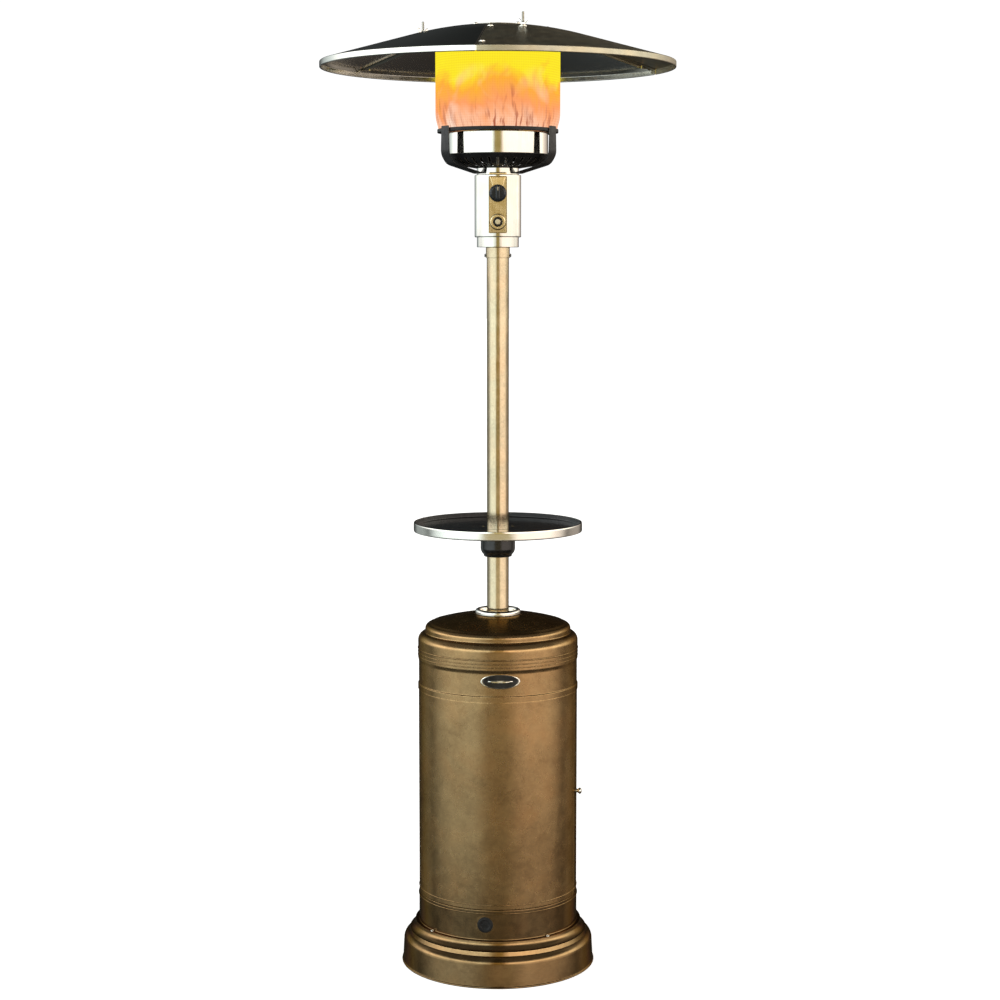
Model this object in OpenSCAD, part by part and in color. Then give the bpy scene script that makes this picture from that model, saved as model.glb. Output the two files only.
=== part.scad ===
// Free-standing gas patio heater: weighted base, gas bottle housing with a rear door,
// pole with a sliding table, control head, burner with emitter screen, three-panel reflector.
// Millimetres, +Z up, origin on the floor at the middle of the base, -Y is the front.
// Every turned or spun piece shares the pole axis x = 0, y = 0.

/* [Base] */
// outer radius of the foot of the base
foot_r = 232; // [231:0.5:236]
// outer radius of the skirt standing on the base
skirt_r = 190; // [189.5:0.1:191]

/* [Housing] */
// outer radius of the bottle housing
housing_r = 188.5; // [188:0.1:189]
// gap between the free edge of the door and the fixed shell, degrees
door_gap = 0.5; // [0.4:0.1:1.5]
// height of the door knob
pull_z = 422; // [300:1:560]

/* [Table] */
// height of the underside of the table disc
table_z = 1052; // [980:1:1500]
// outer radius of the table rim
table_r = 200; // [150:1:240]

/* [Head] */
// height of the bottom of the collar on top of the pole
head_z = 1688; // [1600:1:1760]
// height of the glowing emitter screen
screen_h = 190; // [160:1:230]

/* [Reflector] */
// outer radius of the reflector
dish_r = 413; // [340:1:460]
// slope of the outer part of the reflector, rise over run
dish_slope = 0.278; // [0.2:0.001:0.3]
// height of the rim lip of the reflector
lip_h = 14; // [8:1:22]

/* [Hidden] */
$fn = 96;
// sheet thicknesses
sheet = 1.5;
thin = 1.2;
// clearance added to a bolt hole radius
hole_gap = 0.1;
// running clearance of a turning or sliding stem, and clearance between free faces
run_gap = 0.06;
free_gap = 0.4;

// base
foot_in = 215;
foot_t = 2;
ledge_z = 101.5;
ledge_in = 174;
flange_r = 199.5;
flange_t = 1.5;
base_screw_r = 194.4;
base_screw_az = 217;
skirt_top = 175;
skirt_lip = 178;
plug_az = 261;
plug_z = 140;
plug_r = 18.4;
neck_bore = 13;
tank_r = 170;
tank_z0 = 8;
tank_top = 160;
tank_wall = 4;
rim_t = 4;

// inner frame
strut_az = [0, 187, 281];
strut_r = 177;
strut_t = 3;
strut_w = 30;
plate_z = 697;
plate_t = 3;
strut_bolt_low = 182;
strut_bolt_high = 163;
flange_bolt_r = 48;
bolt_r = 3;

// housing
shell_z1 = 668;
bead_z = 187;
hinge_az = 163.5;
hinge_r = 192.5;
knuckle_r = 3.4;
pin_r = 1.6;
hinge_h = 50;
leaf_az = 3.2;
hinge_z = [235, 560];
free_az = -16.5;
door_z0 = 177;
door_z1 = 666;
pull_az = -10;
hood_hole = 40;
dome_r = 565;
dome_z = 283.6;

// gas bottle
bottle_r = 155;
bottle_wall = 3;
bottle_z0 = tank_top;
bottle_low = 225;
bottle_high = 505;
low_dome = 53;
high_dome = 55;
outlet_z = 585;
hose_r = 5;
bend_r = 40;
regulator_y = 80;
hose_y = 95;

// pole
pole_r = 26;
pole_joint = 1012;
pole_top = head_z + 12;

// table
disc_t = 2.5;
hub_bore = pole_r + free_gap;
table_screw_r = 35;

// control head, heights above head_z
tube_r = 49;
tube_z0 = 25;
tube_z1 = 213;
cover_r = 54.3;
cover_z0 = 48;
cover_z1 = 192;
window_w = 42;
panel_y = -43.8;
knob_h = 149;
igniter_h = 83;
stem_r = 4;
button_r = 6.3;

// burner, heights above burner_z
burner_z = head_z + 207;
drum_z = burner_z + 32;
drum_h = 50;
drum_r = 117;
ring_z = drum_z + drum_h;
ring_h = 8;
ring_r = 141;
screen_z = ring_z + ring_h;
screen_r = 145;
screen_foot_r = 138;
top_z = screen_z + screen_h;
bracket_az = [332, 212, 92];
bracket_w = 37;

// reflector
apex_z = top_z + 49;
dish_k = 0.00066;
knee_r = dish_slope / (2 * dish_k);
seam_az = [25, 145, 265];
stud_az = [48.5, 168.5, 288.5];
stud_ring = 178;
stud_r = 3;
panel_in = 40;
cap_r = 70;
seam_out_r = dish_r - 33;
seam_in_r = 186;
cap_bolt_r = 56;

// colours
bronze = [0.55, 0.43, 0.28];
champagne = [0.66, 0.55, 0.38];
steel = [0.80, 0.80, 0.78];
black = [0.07, 0.07, 0.07];
dark_steel = [0.30, 0.30, 0.30];
brass = [0.78, 0.62, 0.28];
glow = [1.00, 0.55, 0.15];
cylinder_grey = [0.82, 0.83, 0.82];
tank_black = [0.12, 0.12, 0.12];

// Points of an oval arc from angle a0 to a1, in n steps.
function oval(cx, cz, rx, rz, a0, a1, n) =
  [for (i = [0:n]) [cx + rx * cos(a0 + (a1 - a0) * i / n), cz + rz * sin(a0 + (a1 - a0) * i / n)]];

// Points of a circular arc.
function arc(cx, cz, r, a0, a1, n) = oval(cx, cz, r, r, a0, a1, n);

// The same points in the opposite order.
function reversed(p) = [for (i = [len(p) - 1:-1:0]) p[i]];

// Inner face of a spun sheet: the outer points moved in and down, never below z0.
function inner_face(p, t, z0) = [for (q = p) [q[0] - t, max(q[1] - t, z0)]];

// Height of the top face of the reflector at radius r.
function dish_top(r) =
  r < knee_r ? apex_z - dish_k * r * r
             : apex_z - dish_k * knee_r * knee_r - dish_slope * (r - knee_r);

// Tube standing on z0.
module tube(ro, ri, z0, z1) {
  translate([0, 0, z0])
    difference() {
      cylinder(r = ro, h = z1 - z0);
      translate([0, 0, -1]) cylinder(r = ri, h = z1 - z0 + 2);
    }
}

// Disc or rod standing on z0.
module rod(r, z0, z1) {
  translate([0, 0, z0]) cylinder(r = r, h = z1 - z0);
}

// Places a child at azimuth az, radius r, height z, its x axis pointing outwards.
module at(az, r, z) {
  rotate([0, 0, az]) translate([r, 0, z]) children();
}

// Rod pointing outwards from radius r0 to r1 at azimuth az, height z.
module radial_rod(az, z, r, r0, r1) {
  rotate([0, 0, az]) translate([r0, 0, z]) rotate([0, 90, 0]) cylinder(r = r, h = r1 - r0);
}

// Rod along y from y0 to y1.
module y_rod(x, z, r, y0, y1) {
  translate([x, y0, z]) rotate([-90, 0, 0]) cylinder(r = r, h = y1 - y0);
}

// Spun piece with part of a full turn starting at azimuth a0.
module spun(p, a0, turn) {
  rotate([0, 0, a0]) rotate_extrude(angle = turn) polygon(p);
}

// Box between radii r0 and r1, w wide, from z0 to z1, at azimuth az.
module block(az, r0, r1, w, z0, z1) {
  rotate([0, 0, az]) translate([r0, -w / 2, z0]) cube([r1 - r0, w, z1 - z0]);
}

// Pan-head screw: head standing on z, shank below it.
module screw(r, head_r, head_h, z, len) {
  rod(head_r, z, z + head_h * 0.6);
  rod(head_r * 0.8, z + head_h * 0.6, z + head_h);
  rod(r, z - len, z);
}

// ---- base ----

// Spun steel base: turned-in foot, bulging side, cove and flat ledge.
module base_shell() {
  outer = concat(
    [[foot_r - 0.5, 0], [foot_r, 1.5], [foot_r, 4], [foot_r - 2.2, 6]],
    arc(foot_r - 26, 54, 21, 0, 65, 8),
    arc(217.5, ledge_z, 20.5, 255, 180, 8),
    [[ledge_in, ledge_z]]);
  wall = [for (i = [3:len(outer) - 2]) outer[i]];
  inner = concat(
    [[foot_in, 0], [foot_in, foot_t], [foot_r - 4.2, foot_t]],
    inner_face(wall, foot_t, foot_t),
    [[ledge_in, ledge_z - foot_t]]);
  color(bronze)
    difference() {
      rotate_extrude() polygon(concat(outer, reversed(inner)));
      for (k = [0:3])
        at(base_screw_az + 90 * k, base_screw_r, ledge_z - 10) cylinder(r = 2 + hole_gap, h = 20);
      for (a = strut_az)
        at(a, strut_bolt_low, ledge_z - 10) cylinder(r = bolt_r + hole_gap, h = 20);
    }
}

// Rolled skirt between the base and the housing, with a bead and the hole for the plug.
module base_skirt() {
  wall = skirt_r - sheet;
  color(bronze)
    difference() {
      union() {
        rotate_extrude()
          polygon([[wall, ledge_z], [flange_r, ledge_z], [flange_r, ledge_z + flange_t],
                   [skirt_r, ledge_z + flange_t], [skirt_r, skirt_top], [skirt_lip, skirt_top],
                   [skirt_lip, skirt_top - sheet], [wall, skirt_top - sheet]]);
        rotate_extrude() translate([skirt_r - 0.4, 167]) circle(r = 2);
      }
      for (k = [0:3])
        at(base_screw_az + 90 * k, base_screw_r, ledge_z - 10) cylinder(r = 2 + hole_gap, h = 20);
      radial_rod(plug_az, plug_z, plug_r + free_gap, 160, 210);
    }
}

// Four screws that hold the skirt on the base.
module base_screws() {
  color(steel)
    for (k = [0:3])
      at(base_screw_az + 90 * k, base_screw_r, 0) screw(2, 3.8, 3, ledge_z + flange_t, 9);
}

// Blow-moulded ballast tank hanging by its rim on the ledge, with a filler neck at the front.
module ballast_tank() {
  color(tank_black)
    difference() {
      union() {
        rod(tank_r, tank_z0, tank_top);
        difference() {
          rod(186, ledge_z, ledge_z + rim_t);
          for (a = strut_az) block(a, 172, 190, strut_w + 6, ledge_z - 1, ledge_z + rim_t + 1);
        }
        radial_rod(plug_az, plug_z, neck_bore + tank_wall, 160, 183);
      }
      rod(tank_r - tank_wall, tank_z0 + tank_wall, tank_top - tank_wall);
      radial_rod(plug_az, plug_z, neck_bore, 150, 184);
    }
}

// Push-in plug of the ballast tank.
module tank_plug() {
  color(black)
    union() {
      radial_rod(plug_az, plug_z, plug_r, 183.6, 190.6);
      radial_rod(plug_az, plug_z, plug_r - 3, 190.6, 192);
      radial_rod(plug_az, plug_z, neck_bore - run_gap, 170, 183.6);
    }
}

// ---- inner frame ----

// Three bent flat bars from the ledge of the base to the plate under the pole.
module struts() {
  color(dark_steel)
    for (a = strut_az)
      difference() {
        union() {
          block(a, strut_r - strut_t, strut_r, strut_w, ledge_z, plate_z);
          block(a, strut_r - strut_t, 187, strut_w, ledge_z, ledge_z + strut_t);
          block(a, 150, strut_r, strut_w, plate_z - strut_t, plate_z);
        }
        at(a, strut_bolt_low, ledge_z - 1) cylinder(r = bolt_r + hole_gap, h = 10);
        at(a, strut_bolt_high, plate_z - 6) cylinder(r = bolt_r + hole_gap, h = 10);
      }
}

// Bolts of the inner frame: strut feet, strut heads and the flange of the pole.
module frame_bolts() {
  low_z = ledge_z + strut_t;
  high_z = plate_z + plate_t;
  color(steel) {
    for (a = strut_az) {
      at(a, strut_bolt_low, 0) screw(bolt_r, 4.8, 4, low_z, 12);
      at(a, strut_bolt_high, 0) screw(bolt_r, 6, 4, high_z, 16);
      at(a, strut_bolt_high, plate_z - strut_t - 5) tube(6, bolt_r, 0, 5);
    }
    for (k = [0:3])
      at(45 + 90 * k, flange_bolt_r, 0) screw(bolt_r, 6, 4, high_z + 5, 16);
  }
}

// Round plate that ties the struts and carries the pole.
module post_plate() {
  color(dark_steel)
    difference() {
      rod(180, plate_z, plate_z + plate_t);
      rod(18, plate_z - 1, plate_z + plate_t + 1);
      for (a = strut_az)
        at(a, strut_bolt_high, plate_z - 1) cylinder(r = bolt_r + hole_gap, h = 10);
      for (k = [0:3])
        at(45 + 90 * k, flange_bolt_r, plate_z - 1) cylinder(r = bolt_r + hole_gap, h = 10);
      for (k = [0:5])
        at(25 + 60 * k, 105, plate_z - 1) cylinder(r = 22, h = 10);
    }
}

// Flanged socket that holds the foot of the pole.
module post_flange() {
  z0 = plate_z + plate_t;
  color(dark_steel)
    difference() {
      union() {
        rod(62, z0, z0 + 5);
        rod(31, z0, z0 + 60);
      }
      rod(pole_r + run_gap, z0 - 1, z0 + 61);
      for (k = [0:3])
        at(45 + 90 * k, flange_bolt_r, z0 - 1) cylinder(r = bolt_r + hole_gap, h = 10);
    }
}

// ---- housing ----

// Fixed hood on top of the housing: band, beads, stepped shoulder and shallow dome.
module hood() {
  shoulder = housing_r + 1.1;
  outer = concat(
    [[housing_r + 1.5, shell_z1], [housing_r + 1.5, 681], [housing_r - 0.5, 682.5],
     [housing_r - 0.5, 736], [shoulder, 742]],
    arc(shoulder - 19, 784, 19, 0, 78, 8),
    [[173.3, 804.5], [173.3, 809.5]],
    arc(162, 811.5, 11.3, 0, 80, 6),
    arc(0, dome_z, dome_r, acos(158 / dome_r), acos(hood_hole / dome_r), 10));
  inner = inner_face(outer, sheet, shell_z1);
  color(bronze)
    union() {
      rotate_extrude() polygon(concat(outer, reversed(inner)));
      for (z = [749, 757, 766])
        rotate_extrude() translate([shoulder - 0.5, z]) circle(r = 1.4);
    }
}

// Blank oval badge wrapped on the front of the hood.
module badge() {
  color(black)
    intersection() {
      tube(housing_r + 2, housing_r - 0.45, 690, 750);
      rotate([0, 0, 271.8])
        translate([160, 0, 717])
          rotate([90, 0, 90])
            linear_extrude(height = 60)
              polygon(oval(0, 0, 46, 17, 0, 352.5, 47));
    }
}

// Dished ring round the pole where it enters the hood: rolled rim and a low floor.
module trim_ring() {
  z0 = dome_z + sqrt(dome_r * dome_r - hood_hole * hood_hole);
  bore = pole_r + 0.3;
  color(bronze)
    rotate_extrude()
      polygon(concat([[bore, z0], [54, z0]],
                     arc(48, z0 + 4.5, 6, 0, 180, 10),
                     [[42, z0 + 2.5], [bore, z0 + 2.5]]));
}

// Fixed front half of the housing, flanged top and bottom, with a bead above its foot.
module front_shell() {
  lip = housing_r - 10;
  in_r = housing_r - sheet;
  turn = 360 + free_az - hinge_az;
  color(bronze)
    union() {
      spun([[lip, skirt_top], [housing_r, skirt_top], [housing_r, shell_z1], [lip, shell_z1],
            [lip, shell_z1 - sheet], [in_r, shell_z1 - sheet], [in_r, skirt_top + sheet],
            [lip, skirt_top + sheet]], hinge_az, turn);
      rotate([0, 0, hinge_az])
        rotate_extrude(angle = turn) translate([housing_r - 0.5, bead_z]) circle(r = 1.5);
    }
}

// Rear door of the housing, flanged top and bottom, with the same bead.
module rear_door() {
  lip = housing_r - 9.5;
  in_r = housing_r - sheet;
  start = free_az + door_gap;
  turn = hinge_az - 2 - start;
  color(bronze)
    difference() {
      union() {
        spun([[lip, door_z0], [housing_r, door_z0], [housing_r, door_z1], [lip, door_z1],
              [lip, door_z1 - sheet], [in_r, door_z1 - sheet], [in_r, door_z0 + sheet],
              [lip, door_z0 + sheet]], start, turn);
        rotate([0, 0, start])
          rotate_extrude(angle = turn) translate([housing_r - 0.5, bead_z]) circle(r = 1.5);
      }
      radial_rod(pull_az, pull_z, 3 + hole_gap, 180, 195);
    }
}

// Flat plate of a hinge leaf, tangent to the housing; side is 1 or -1 from the hinge axis.
module leaf_plate(side, z0, outline) {
  rotate([0, 0, hinge_az])
    mirror([0, side > 0 ? 0 : 1, 0])
      rotate([0, 0, leaf_az])
        translate([housing_r + 0.05, 0, z0])
          rotate([90, 0, 90])
            linear_extrude(height = 2) polygon(outline);
}

// Bored barrel of a hinge between two heights.
module knuckle(z0, z1) {
  at(hinge_az, hinge_r, 0)
    tube(knuckle_r, pin_r + run_gap, z0, z1);
}

// Hinge leaves on the fixed shell: plate with two tabs and the two end barrels.
module hinge_fixed() {
  color(dark_steel)
    for (z = hinge_z)
      union() {
        leaf_plate(1, z, [[8, 0], [8, hinge_h], [-8.5, hinge_h], [-8.5, 34], [-5.5, 34],
                          [-5.5, 16], [-8.5, 16], [-8.5, 0]]);
        knuckle(z, z + 16);
        knuckle(z + 34, z + hinge_h);
      }
}

// Hinge leaves on the door: plate with one tab and the middle barrel.
module hinge_moving() {
  color(dark_steel)
    for (z = hinge_z)
      union() {
        leaf_plate(-1, z, [[8, 0], [8, hinge_h], [-5.5, hinge_h], [-5.5, 33.5], [-8.5, 33.5],
                           [-8.5, 16.5], [-5.5, 16.5], [-5.5, 0]]);
        knuckle(z + 16.5, z + 33.5);
      }
}

// Hinge pins with small heads.
module hinge_pins() {
  color(steel)
    for (z = hinge_z)
      at(hinge_az, hinge_r, z) {
        rod(pin_r, -0.2, hinge_h + 0.2);
        rod(3, hinge_h + 0.2, hinge_h + 1.7);
        rod(3, -1.7, -0.2);
      }
}

// Bright knob of the door with its stem and inner nut.
module door_pull() {
  color(steel)
    union() {
      radial_rod(pull_az, pull_z, 3, 183, 196);
      radial_rod(pull_az, pull_z, 6, 183, 186.6);
      radial_rod(pull_az, pull_z, 5, 189, 196);
      radial_rod(pull_az, pull_z, 7.5, 196, 201);
      radial_rod(pull_az, pull_z, 6, 201, 203);
    }
}

// ---- gas bottle ----

// Steel gas bottle: vessel with two domes, foot ring and guard ring with hand openings.
module gas_bottle() {
  in_r = bottle_r - bottle_wall;
  outer = concat(
    oval(0, bottle_low, bottle_r, low_dome, -90, 0, 10),
    oval(0, bottle_high, bottle_r, high_dome, 0, 82, 10),
    [[20, 566], [neck_bore, 566]]);
  inner = concat(
    oval(0, bottle_low, in_r, low_dome - bottle_wall, -90, 0, 10),
    oval(0, bottle_high, in_r, high_dome - bottle_wall, 0, 85, 10));
  color(cylinder_grey)
    union() {
      rotate_extrude() polygon(concat(outer, reversed(inner)));
      tube(100, 97, bottle_z0, 186);
      difference() {
        tube(110, 107, 542, 622);
        block(90, 60, 130, 176, 566, 630);
        block(210, 60, 130, 90, 580, 606);
        block(330, 60, 130, 90, 580, 606);
      }
    }
}

// Brass valve of the bottle with its side outlet.
module bottle_valve() {
  color(brass)
    difference() {
      union() {
        rod(neck_bore, 552, 566);
        rod(19, 566, 572);
        rod(12, 572, 598);
        rod(9, 598, 606);
        y_rod(0, outlet_z, 13, 6, 38);
      }
      rod(stem_r + run_gap, 596, 607);
      y_rod(0, outlet_z, 5, 14, 39);
    }
}

// Lobed handwheel of the bottle valve.
module handwheel() {
  color(black)
    union() {
      rod(stem_r, 597, 610);
      rod(22, 610, 620);
      for (k = [0:5]) at(60 * k, 20, 610) cylinder(r = 6, h = 10);
    }
}

// Ribbed plastic nut that joins the regulator to the bottle valve.
module coupling_nut() {
  color(black)
    difference() {
      union() {
        y_rod(0, outlet_z, 21, 21.5, 46);
        for (k = [0:9])
          translate([0, 0, outlet_z])
            rotate([0, 36 * k, 0])
              translate([20, 23, -2]) cube([3, 21, 4]);
      }
      y_rod(0, outlet_z, 13.4, 20, 40);
      y_rod(0, outlet_z, 8.4, 39, 47);
    }
}

// Gas regulator: inlet nipple, round body, vent cap and upright outlet.
module regulator() {
  color(steel)
    union() {
      y_rod(0, outlet_z, 8, 39, 52);
      translate([0, regulator_y, 0]) {
        rod(32, 573, 590);
        rod(27, 590, 597);
        rod(9, 597, 602);
      }
      translate([0, hose_y, 0]) rod(7, 595, 612);
    }
}

// Quarter bend of the hose in the y-z plane, starting at angle a0 of its circle.
module hose_bend(y, z, a0) {
  translate([0, y, z])
    rotate([90, 0, 90])
      rotate([0, 0, a0])
        rotate_extrude(angle = 90)
          translate([bend_r, 0]) circle(r = hose_r);
}

// Gas hose: up from the regulator, over to the middle, up inside the pole to the gas valve.
module gas_hose() {
  run_z = 680;
  color(black)
    union() {
      translate([0, hose_y, 0]) rod(hose_r, 612, run_z - bend_r);
      hose_bend(hose_y - bend_r, run_z - bend_r, 0);
      y_rod(0, run_z, hose_r, bend_r, hose_y - bend_r);
      hose_bend(bend_r, run_z + bend_r, 180);
      rod(hose_r, run_z + bend_r, head_z + 102);
    }
}

// ---- pole ----

// Lower pole tube.
module pole_lower() {
  color(champagne) tube(pole_r, pole_r - sheet, plate_z + plate_t, pole_joint);
}

// Upper pole tube.
module pole_upper() {
  color(champagne) tube(pole_r, pole_r - sheet, pole_joint, pole_top);
}

// Sleeve inside the joint of the two tubes.
module pole_sleeve() {
  color(dark_steel)
    tube(pole_r - sheet - 0.05, pole_r - 2 * sheet - 0.05, pole_joint - 60, pole_joint + 60);
}

// ---- table ----

// Flat black disc of the table.
module table_top() {
  color(black)
    difference() {
      tube(table_r - 3.05, hub_bore, table_z, table_z + disc_t);
      for (a = [0, 180])
        at(a, table_screw_r, 0)
          rotate_extrude()
            polygon([[0, table_z - 1], [2.5 + hole_gap, table_z - 1], [2.5 + hole_gap, table_z],
                     [5 + hole_gap, table_z + disc_t - 0.2], [5 + hole_gap, table_z + disc_t + 1],
                     [0, table_z + disc_t + 1]]);
    }
}

// Bright band round the table with a ledge under the disc and rolled edges.
module table_rim() {
  color(steel)
    rotate_extrude()
      union() {
        polygon([[table_r - 3, table_z - 7], [table_r, table_z - 7], [table_r, table_z + 14],
                 [table_r - 3, table_z + 14]]);
        polygon([[table_r - 10, table_z - 2.5], [table_r - 2, table_z - 2.5],
                 [table_r - 2, table_z], [table_r - 10, table_z]]);
      }
}

// Plastic hub under the disc, sliding on the pole.
module table_hub() {
  color(black)
    difference() {
      rotate_extrude()
        polygon([[hub_bore, table_z - 60], [30, table_z - 60], [30, table_z - 17],
                 [44, table_z - 17], [48.7, table_z - 13], [48.7, table_z - 3],
                 [45, table_z], [hub_bore, table_z]]);
      for (a = [0, 180])
        at(a, table_screw_r, table_z - 14) cylinder(r = 2.5 + hole_gap, h = 20);
    }
}

// Two countersunk screws that hold the disc on the hub, flush with the disc.
module table_screws() {
  color(steel)
    for (a = [0, 180])
      at(a, table_screw_r, 0)
        rotate_extrude()
          polygon([[0, table_z - 12], [2.5, table_z - 12], [2.5, table_z],
                   [5, table_z + disc_t - 0.2], [5, table_z + disc_t - 0.05],
                   [0, table_z + disc_t - 0.05]]);
}

// Bell-shaped collar that clamps the hub on the pole.
module clamp_collar() {
  color(black)
    rotate_extrude()
      polygon(concat([[27, table_z - 68], [32.5, table_z - 68]],
                     arc(21, table_z - 48, 20, -52, 0, 7),
                     [[41, table_z - 18.5], [30.4, table_z - 18.5],
                      [30.4, table_z - 61], [27, table_z - 61]]));
}

// ---- control head ----

// Cast collar that joins the control tube to the pole.
module neck_collar() {
  color(bronze)
    translate([0, 0, head_z])
      difference() {
        union() {
          rod(28, 0, tube_z0);
          rod(tube_r - sheet - 0.05, tube_z0, tube_z0 + 3);
        }
        rod(pole_r + 0.05, -1, pole_top - head_z);
        rod(20, 0, tube_z0 + 4);
        for (a = [0, 180]) radial_rod(a, 6, 2 + hole_gap, 20, 30);
      }
}

// Two set screws of the neck collar.
module neck_screws() {
  color(steel)
    translate([0, 0, head_z])
      for (a = [0, 180]) {
        radial_rod(a, 6, 2, pole_r, 28.5);
        radial_rod(a, 6, 4.2, 28.5, 32);
      }
}

// Inner tube of the control head with the opening for the panel.
module control_tube() {
  color(steel)
    translate([0, 0, head_z])
      difference() {
        tube(tube_r, tube_r - sheet, tube_z0, tube_z1);
        translate([-20.5, -60, 52]) cube([41, 30, 145]);
      }
}

// Outer cover of the control head with the window in front.
module control_cover() {
  in_r = cover_r - thin;
  color(steel)
    translate([0, 0, head_z])
      difference() {
        rotate_extrude()
          polygon([[tube_r + 0.1, cover_z0], [cover_r, cover_z0], [cover_r, cover_z1],
                   [tube_r + 0.1, cover_z1], [tube_r + 0.1, cover_z1 - thin],
                   [in_r, cover_z1 - thin], [in_r, cover_z0 + thin],
                   [tube_r + 0.1, cover_z0 + thin]]);
        translate([-window_w / 2, -70, 57]) cube([window_w, 40, 133 - 2]);
      }
}

// Flat plate in the opening, carrying the knob and the igniter.
module control_panel() {
  color(champagne)
    translate([0, 0, head_z])
      difference() {
        translate([-20.3, panel_y, 53]) cube([40.6, sheet, 143]);
        y_rod(0, knob_h, 6, panel_y - 5, panel_y + 5);
        y_rod(0, igniter_h, 8.1, panel_y - 5, panel_y + 5);
      }
}

// Brass gas valve: block, inlet below, nozzle above, bore for the stem.
module gas_valve() {
  color(brass)
    translate([0, 0, head_z])
      difference() {
        union() {
          translate([-14, -41, 126]) cube([28, 51, 46]);
          rod(6.5, 102, 126);
          rod(5, 172, 190);
        }
        y_rod(0, knob_h, stem_r + run_gap, -42, -30);
      }
}

// Stem turned by the knob.
module valve_stem() {
  color(brass)
    translate([0, 0, head_z]) y_rod(0, knob_h, stem_r, -56, -33);
}

// Black knob with a raised grip bar.
module control_knob() {
  color(black)
    translate([0, 0, head_z])
      difference() {
        union() {
          y_rod(0, knob_h, 20, -51, -47.3);
          y_rod(0, knob_h, 17.5, -58, -51);
          translate([-5, -66, knob_h - 17]) cube([10, 9, 34]);
        }
        y_rod(0, knob_h, stem_r + run_gap, -60, -46);
      }
}

// Igniter barrel with bezel and black ring.
module igniter_body() {
  color(black)
    translate([0, 0, head_z])
      difference() {
        union() {
          y_rod(0, igniter_h, 8, panel_y, -10);
          y_rod(0, igniter_h, 19, -46.5, panel_y);
          y_rod(0, igniter_h, 10, -51, -46.5);
        }
        y_rod(0, igniter_h, button_r + run_gap, -52, -36);
      }
}

// Push button of the igniter.
module igniter_button() {
  color(champagne)
    translate([0, 0, head_z])
      union() {
        y_rod(0, igniter_h, button_r, -55, -43);
        y_rod(0, igniter_h, button_r - 1.2, -56.5, -55);
      }
}

// Tilt switch beside the hose.
module tilt_switch() {
  color(black)
    translate([-36, -8, head_z + 32]) cube([20, 24, 30]);
}

// ---- burner ----

// Mixer tube with four air holes.
module mixer_tube() {
  color(steel)
    difference() {
      tube(11, 9, burner_z - 21, burner_z + 47);
      for (k = [0:3]) radial_rod(45 + 90 * k, burner_z - 8, 4, 0, 14);
    }
}

// Burner can with a ring of flame ports.
module burner_head() {
  z0 = burner_z + 47;
  color(dark_steel)
    difference() {
      rotate_extrude()
        polygon([[9, z0], [48, z0], [48, z0 + 46], [40, z0 + 54], [0, z0 + 56], [0, z0 + 54],
                 [39, z0 + 52], [46, z0 + 45], [46, z0 + 2], [9, z0 + 2]]);
      for (k = [0:17]) radial_rod(20 * k, z0 + 41, 2.5, 40, 55);
    }
}

// Pilot hood, thermocouple and its tube down to the gas valve.
module pilot_set() {
  turn_z = burner_z + 33;
  color(steel)
    rotate([0, 0, 300])
      union() {
        translate([36, 0, 0]) rod(2, burner_z - 27, turn_z);
        translate([36, 0, turn_z]) sphere(r = 2);
        translate([36, 0, turn_z]) rotate([0, 90, 0]) cylinder(r = 2, h = 26);
        translate([62, 0, turn_z]) sphere(r = 2);
        translate([62, 0, 0]) rod(2, turn_z, burner_z + 118);
        translate([62, 0, 0]) rod(6, ring_z + 1, ring_z + 22);
      }
}

// Slotted bowl under the burner.
module burner_bowl() {
  outer = [[tube_r + 0.1, burner_z], [97, burner_z + 8], [112, burner_z + 17],
           [124, burner_z + 30], [124, burner_z + 32], [drum_r - 3, burner_z + 32]];
  inner = [[tube_r + 0.1, burner_z + thin], [96.6, burner_z + 8 + thin],
           [111.2, burner_z + 17.9 + thin], [122.8, burner_z + 30.4],
           [122.8, burner_z + 32 - thin], [drum_r - 3, burner_z + 32 - thin]];
  color(black)
    difference() {
      rotate_extrude() polygon(concat(outer, reversed(inner)));
      for (k = [0:35]) block(10 * k, 64, 116, 5.5, burner_z - 5, burner_z + 28);
    }
}

// Bright drum between bowl and ring, closed on top by a floor with air holes.
module burner_drum() {
  z1 = drum_z + drum_h;
  color(steel)
    difference() {
      rotate_extrude()
        polygon([[drum_r - thin, drum_z], [drum_r, drum_z], [drum_r, z1], [48.2, z1],
                 [48.2, z1 - thin], [drum_r - thin, z1 - thin]]);
      at(300, 62, z1 - 5) cylinder(r = 2.4, h = 10);
      for (k = [0:11]) at(30 * k + 15, 92, z1 - 5) cylinder(r = 7, h = 10);
    }
}

// Black channel ring that carries the emitter screen.
module burner_ring() {
  color(black)
    rotate_extrude()
      polygon([[drum_r, ring_z], [drum_r + sheet, ring_z], [drum_r + sheet, screen_z - sheet],
               [ring_r - sheet, screen_z - sheet], [ring_r - sheet, ring_z], [ring_r, ring_z],
               [ring_r, screen_z], [drum_r, screen_z]]);
}

// Three bent straps from the ring down and in to the control tube.
module head_brackets() {
  z = burner_z;
  color(black)
    for (a = bracket_az)
      rotate([0, 0, a])
        translate([0, bracket_w / 2, 0])
          rotate([90, 0, 0])
            linear_extrude(height = bracket_w)
              polygon([[ring_r, z + 94], [ring_r + 2.5, z + 94], [ring_r + 2.5, z + 29],
                       [129, z + 7], [55, z - 12.5], [tube_r, z - 12.5], [tube_r, z - 10],
                       [54.3, z - 10], [127.5, z + 9.3], [ring_r, z + 30]]);
}

// Emitter screen: short cone at the foot, straight wall above.
module emitter_screen() {
  color(glow)
    rotate_extrude()
      polygon([[screen_foot_r, screen_z], [screen_r, screen_z + 27], [screen_r, top_z],
               [screen_r - 1, top_z], [screen_r - 1, screen_z + 27],
               [screen_foot_r - 1, screen_z]]);
}

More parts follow.
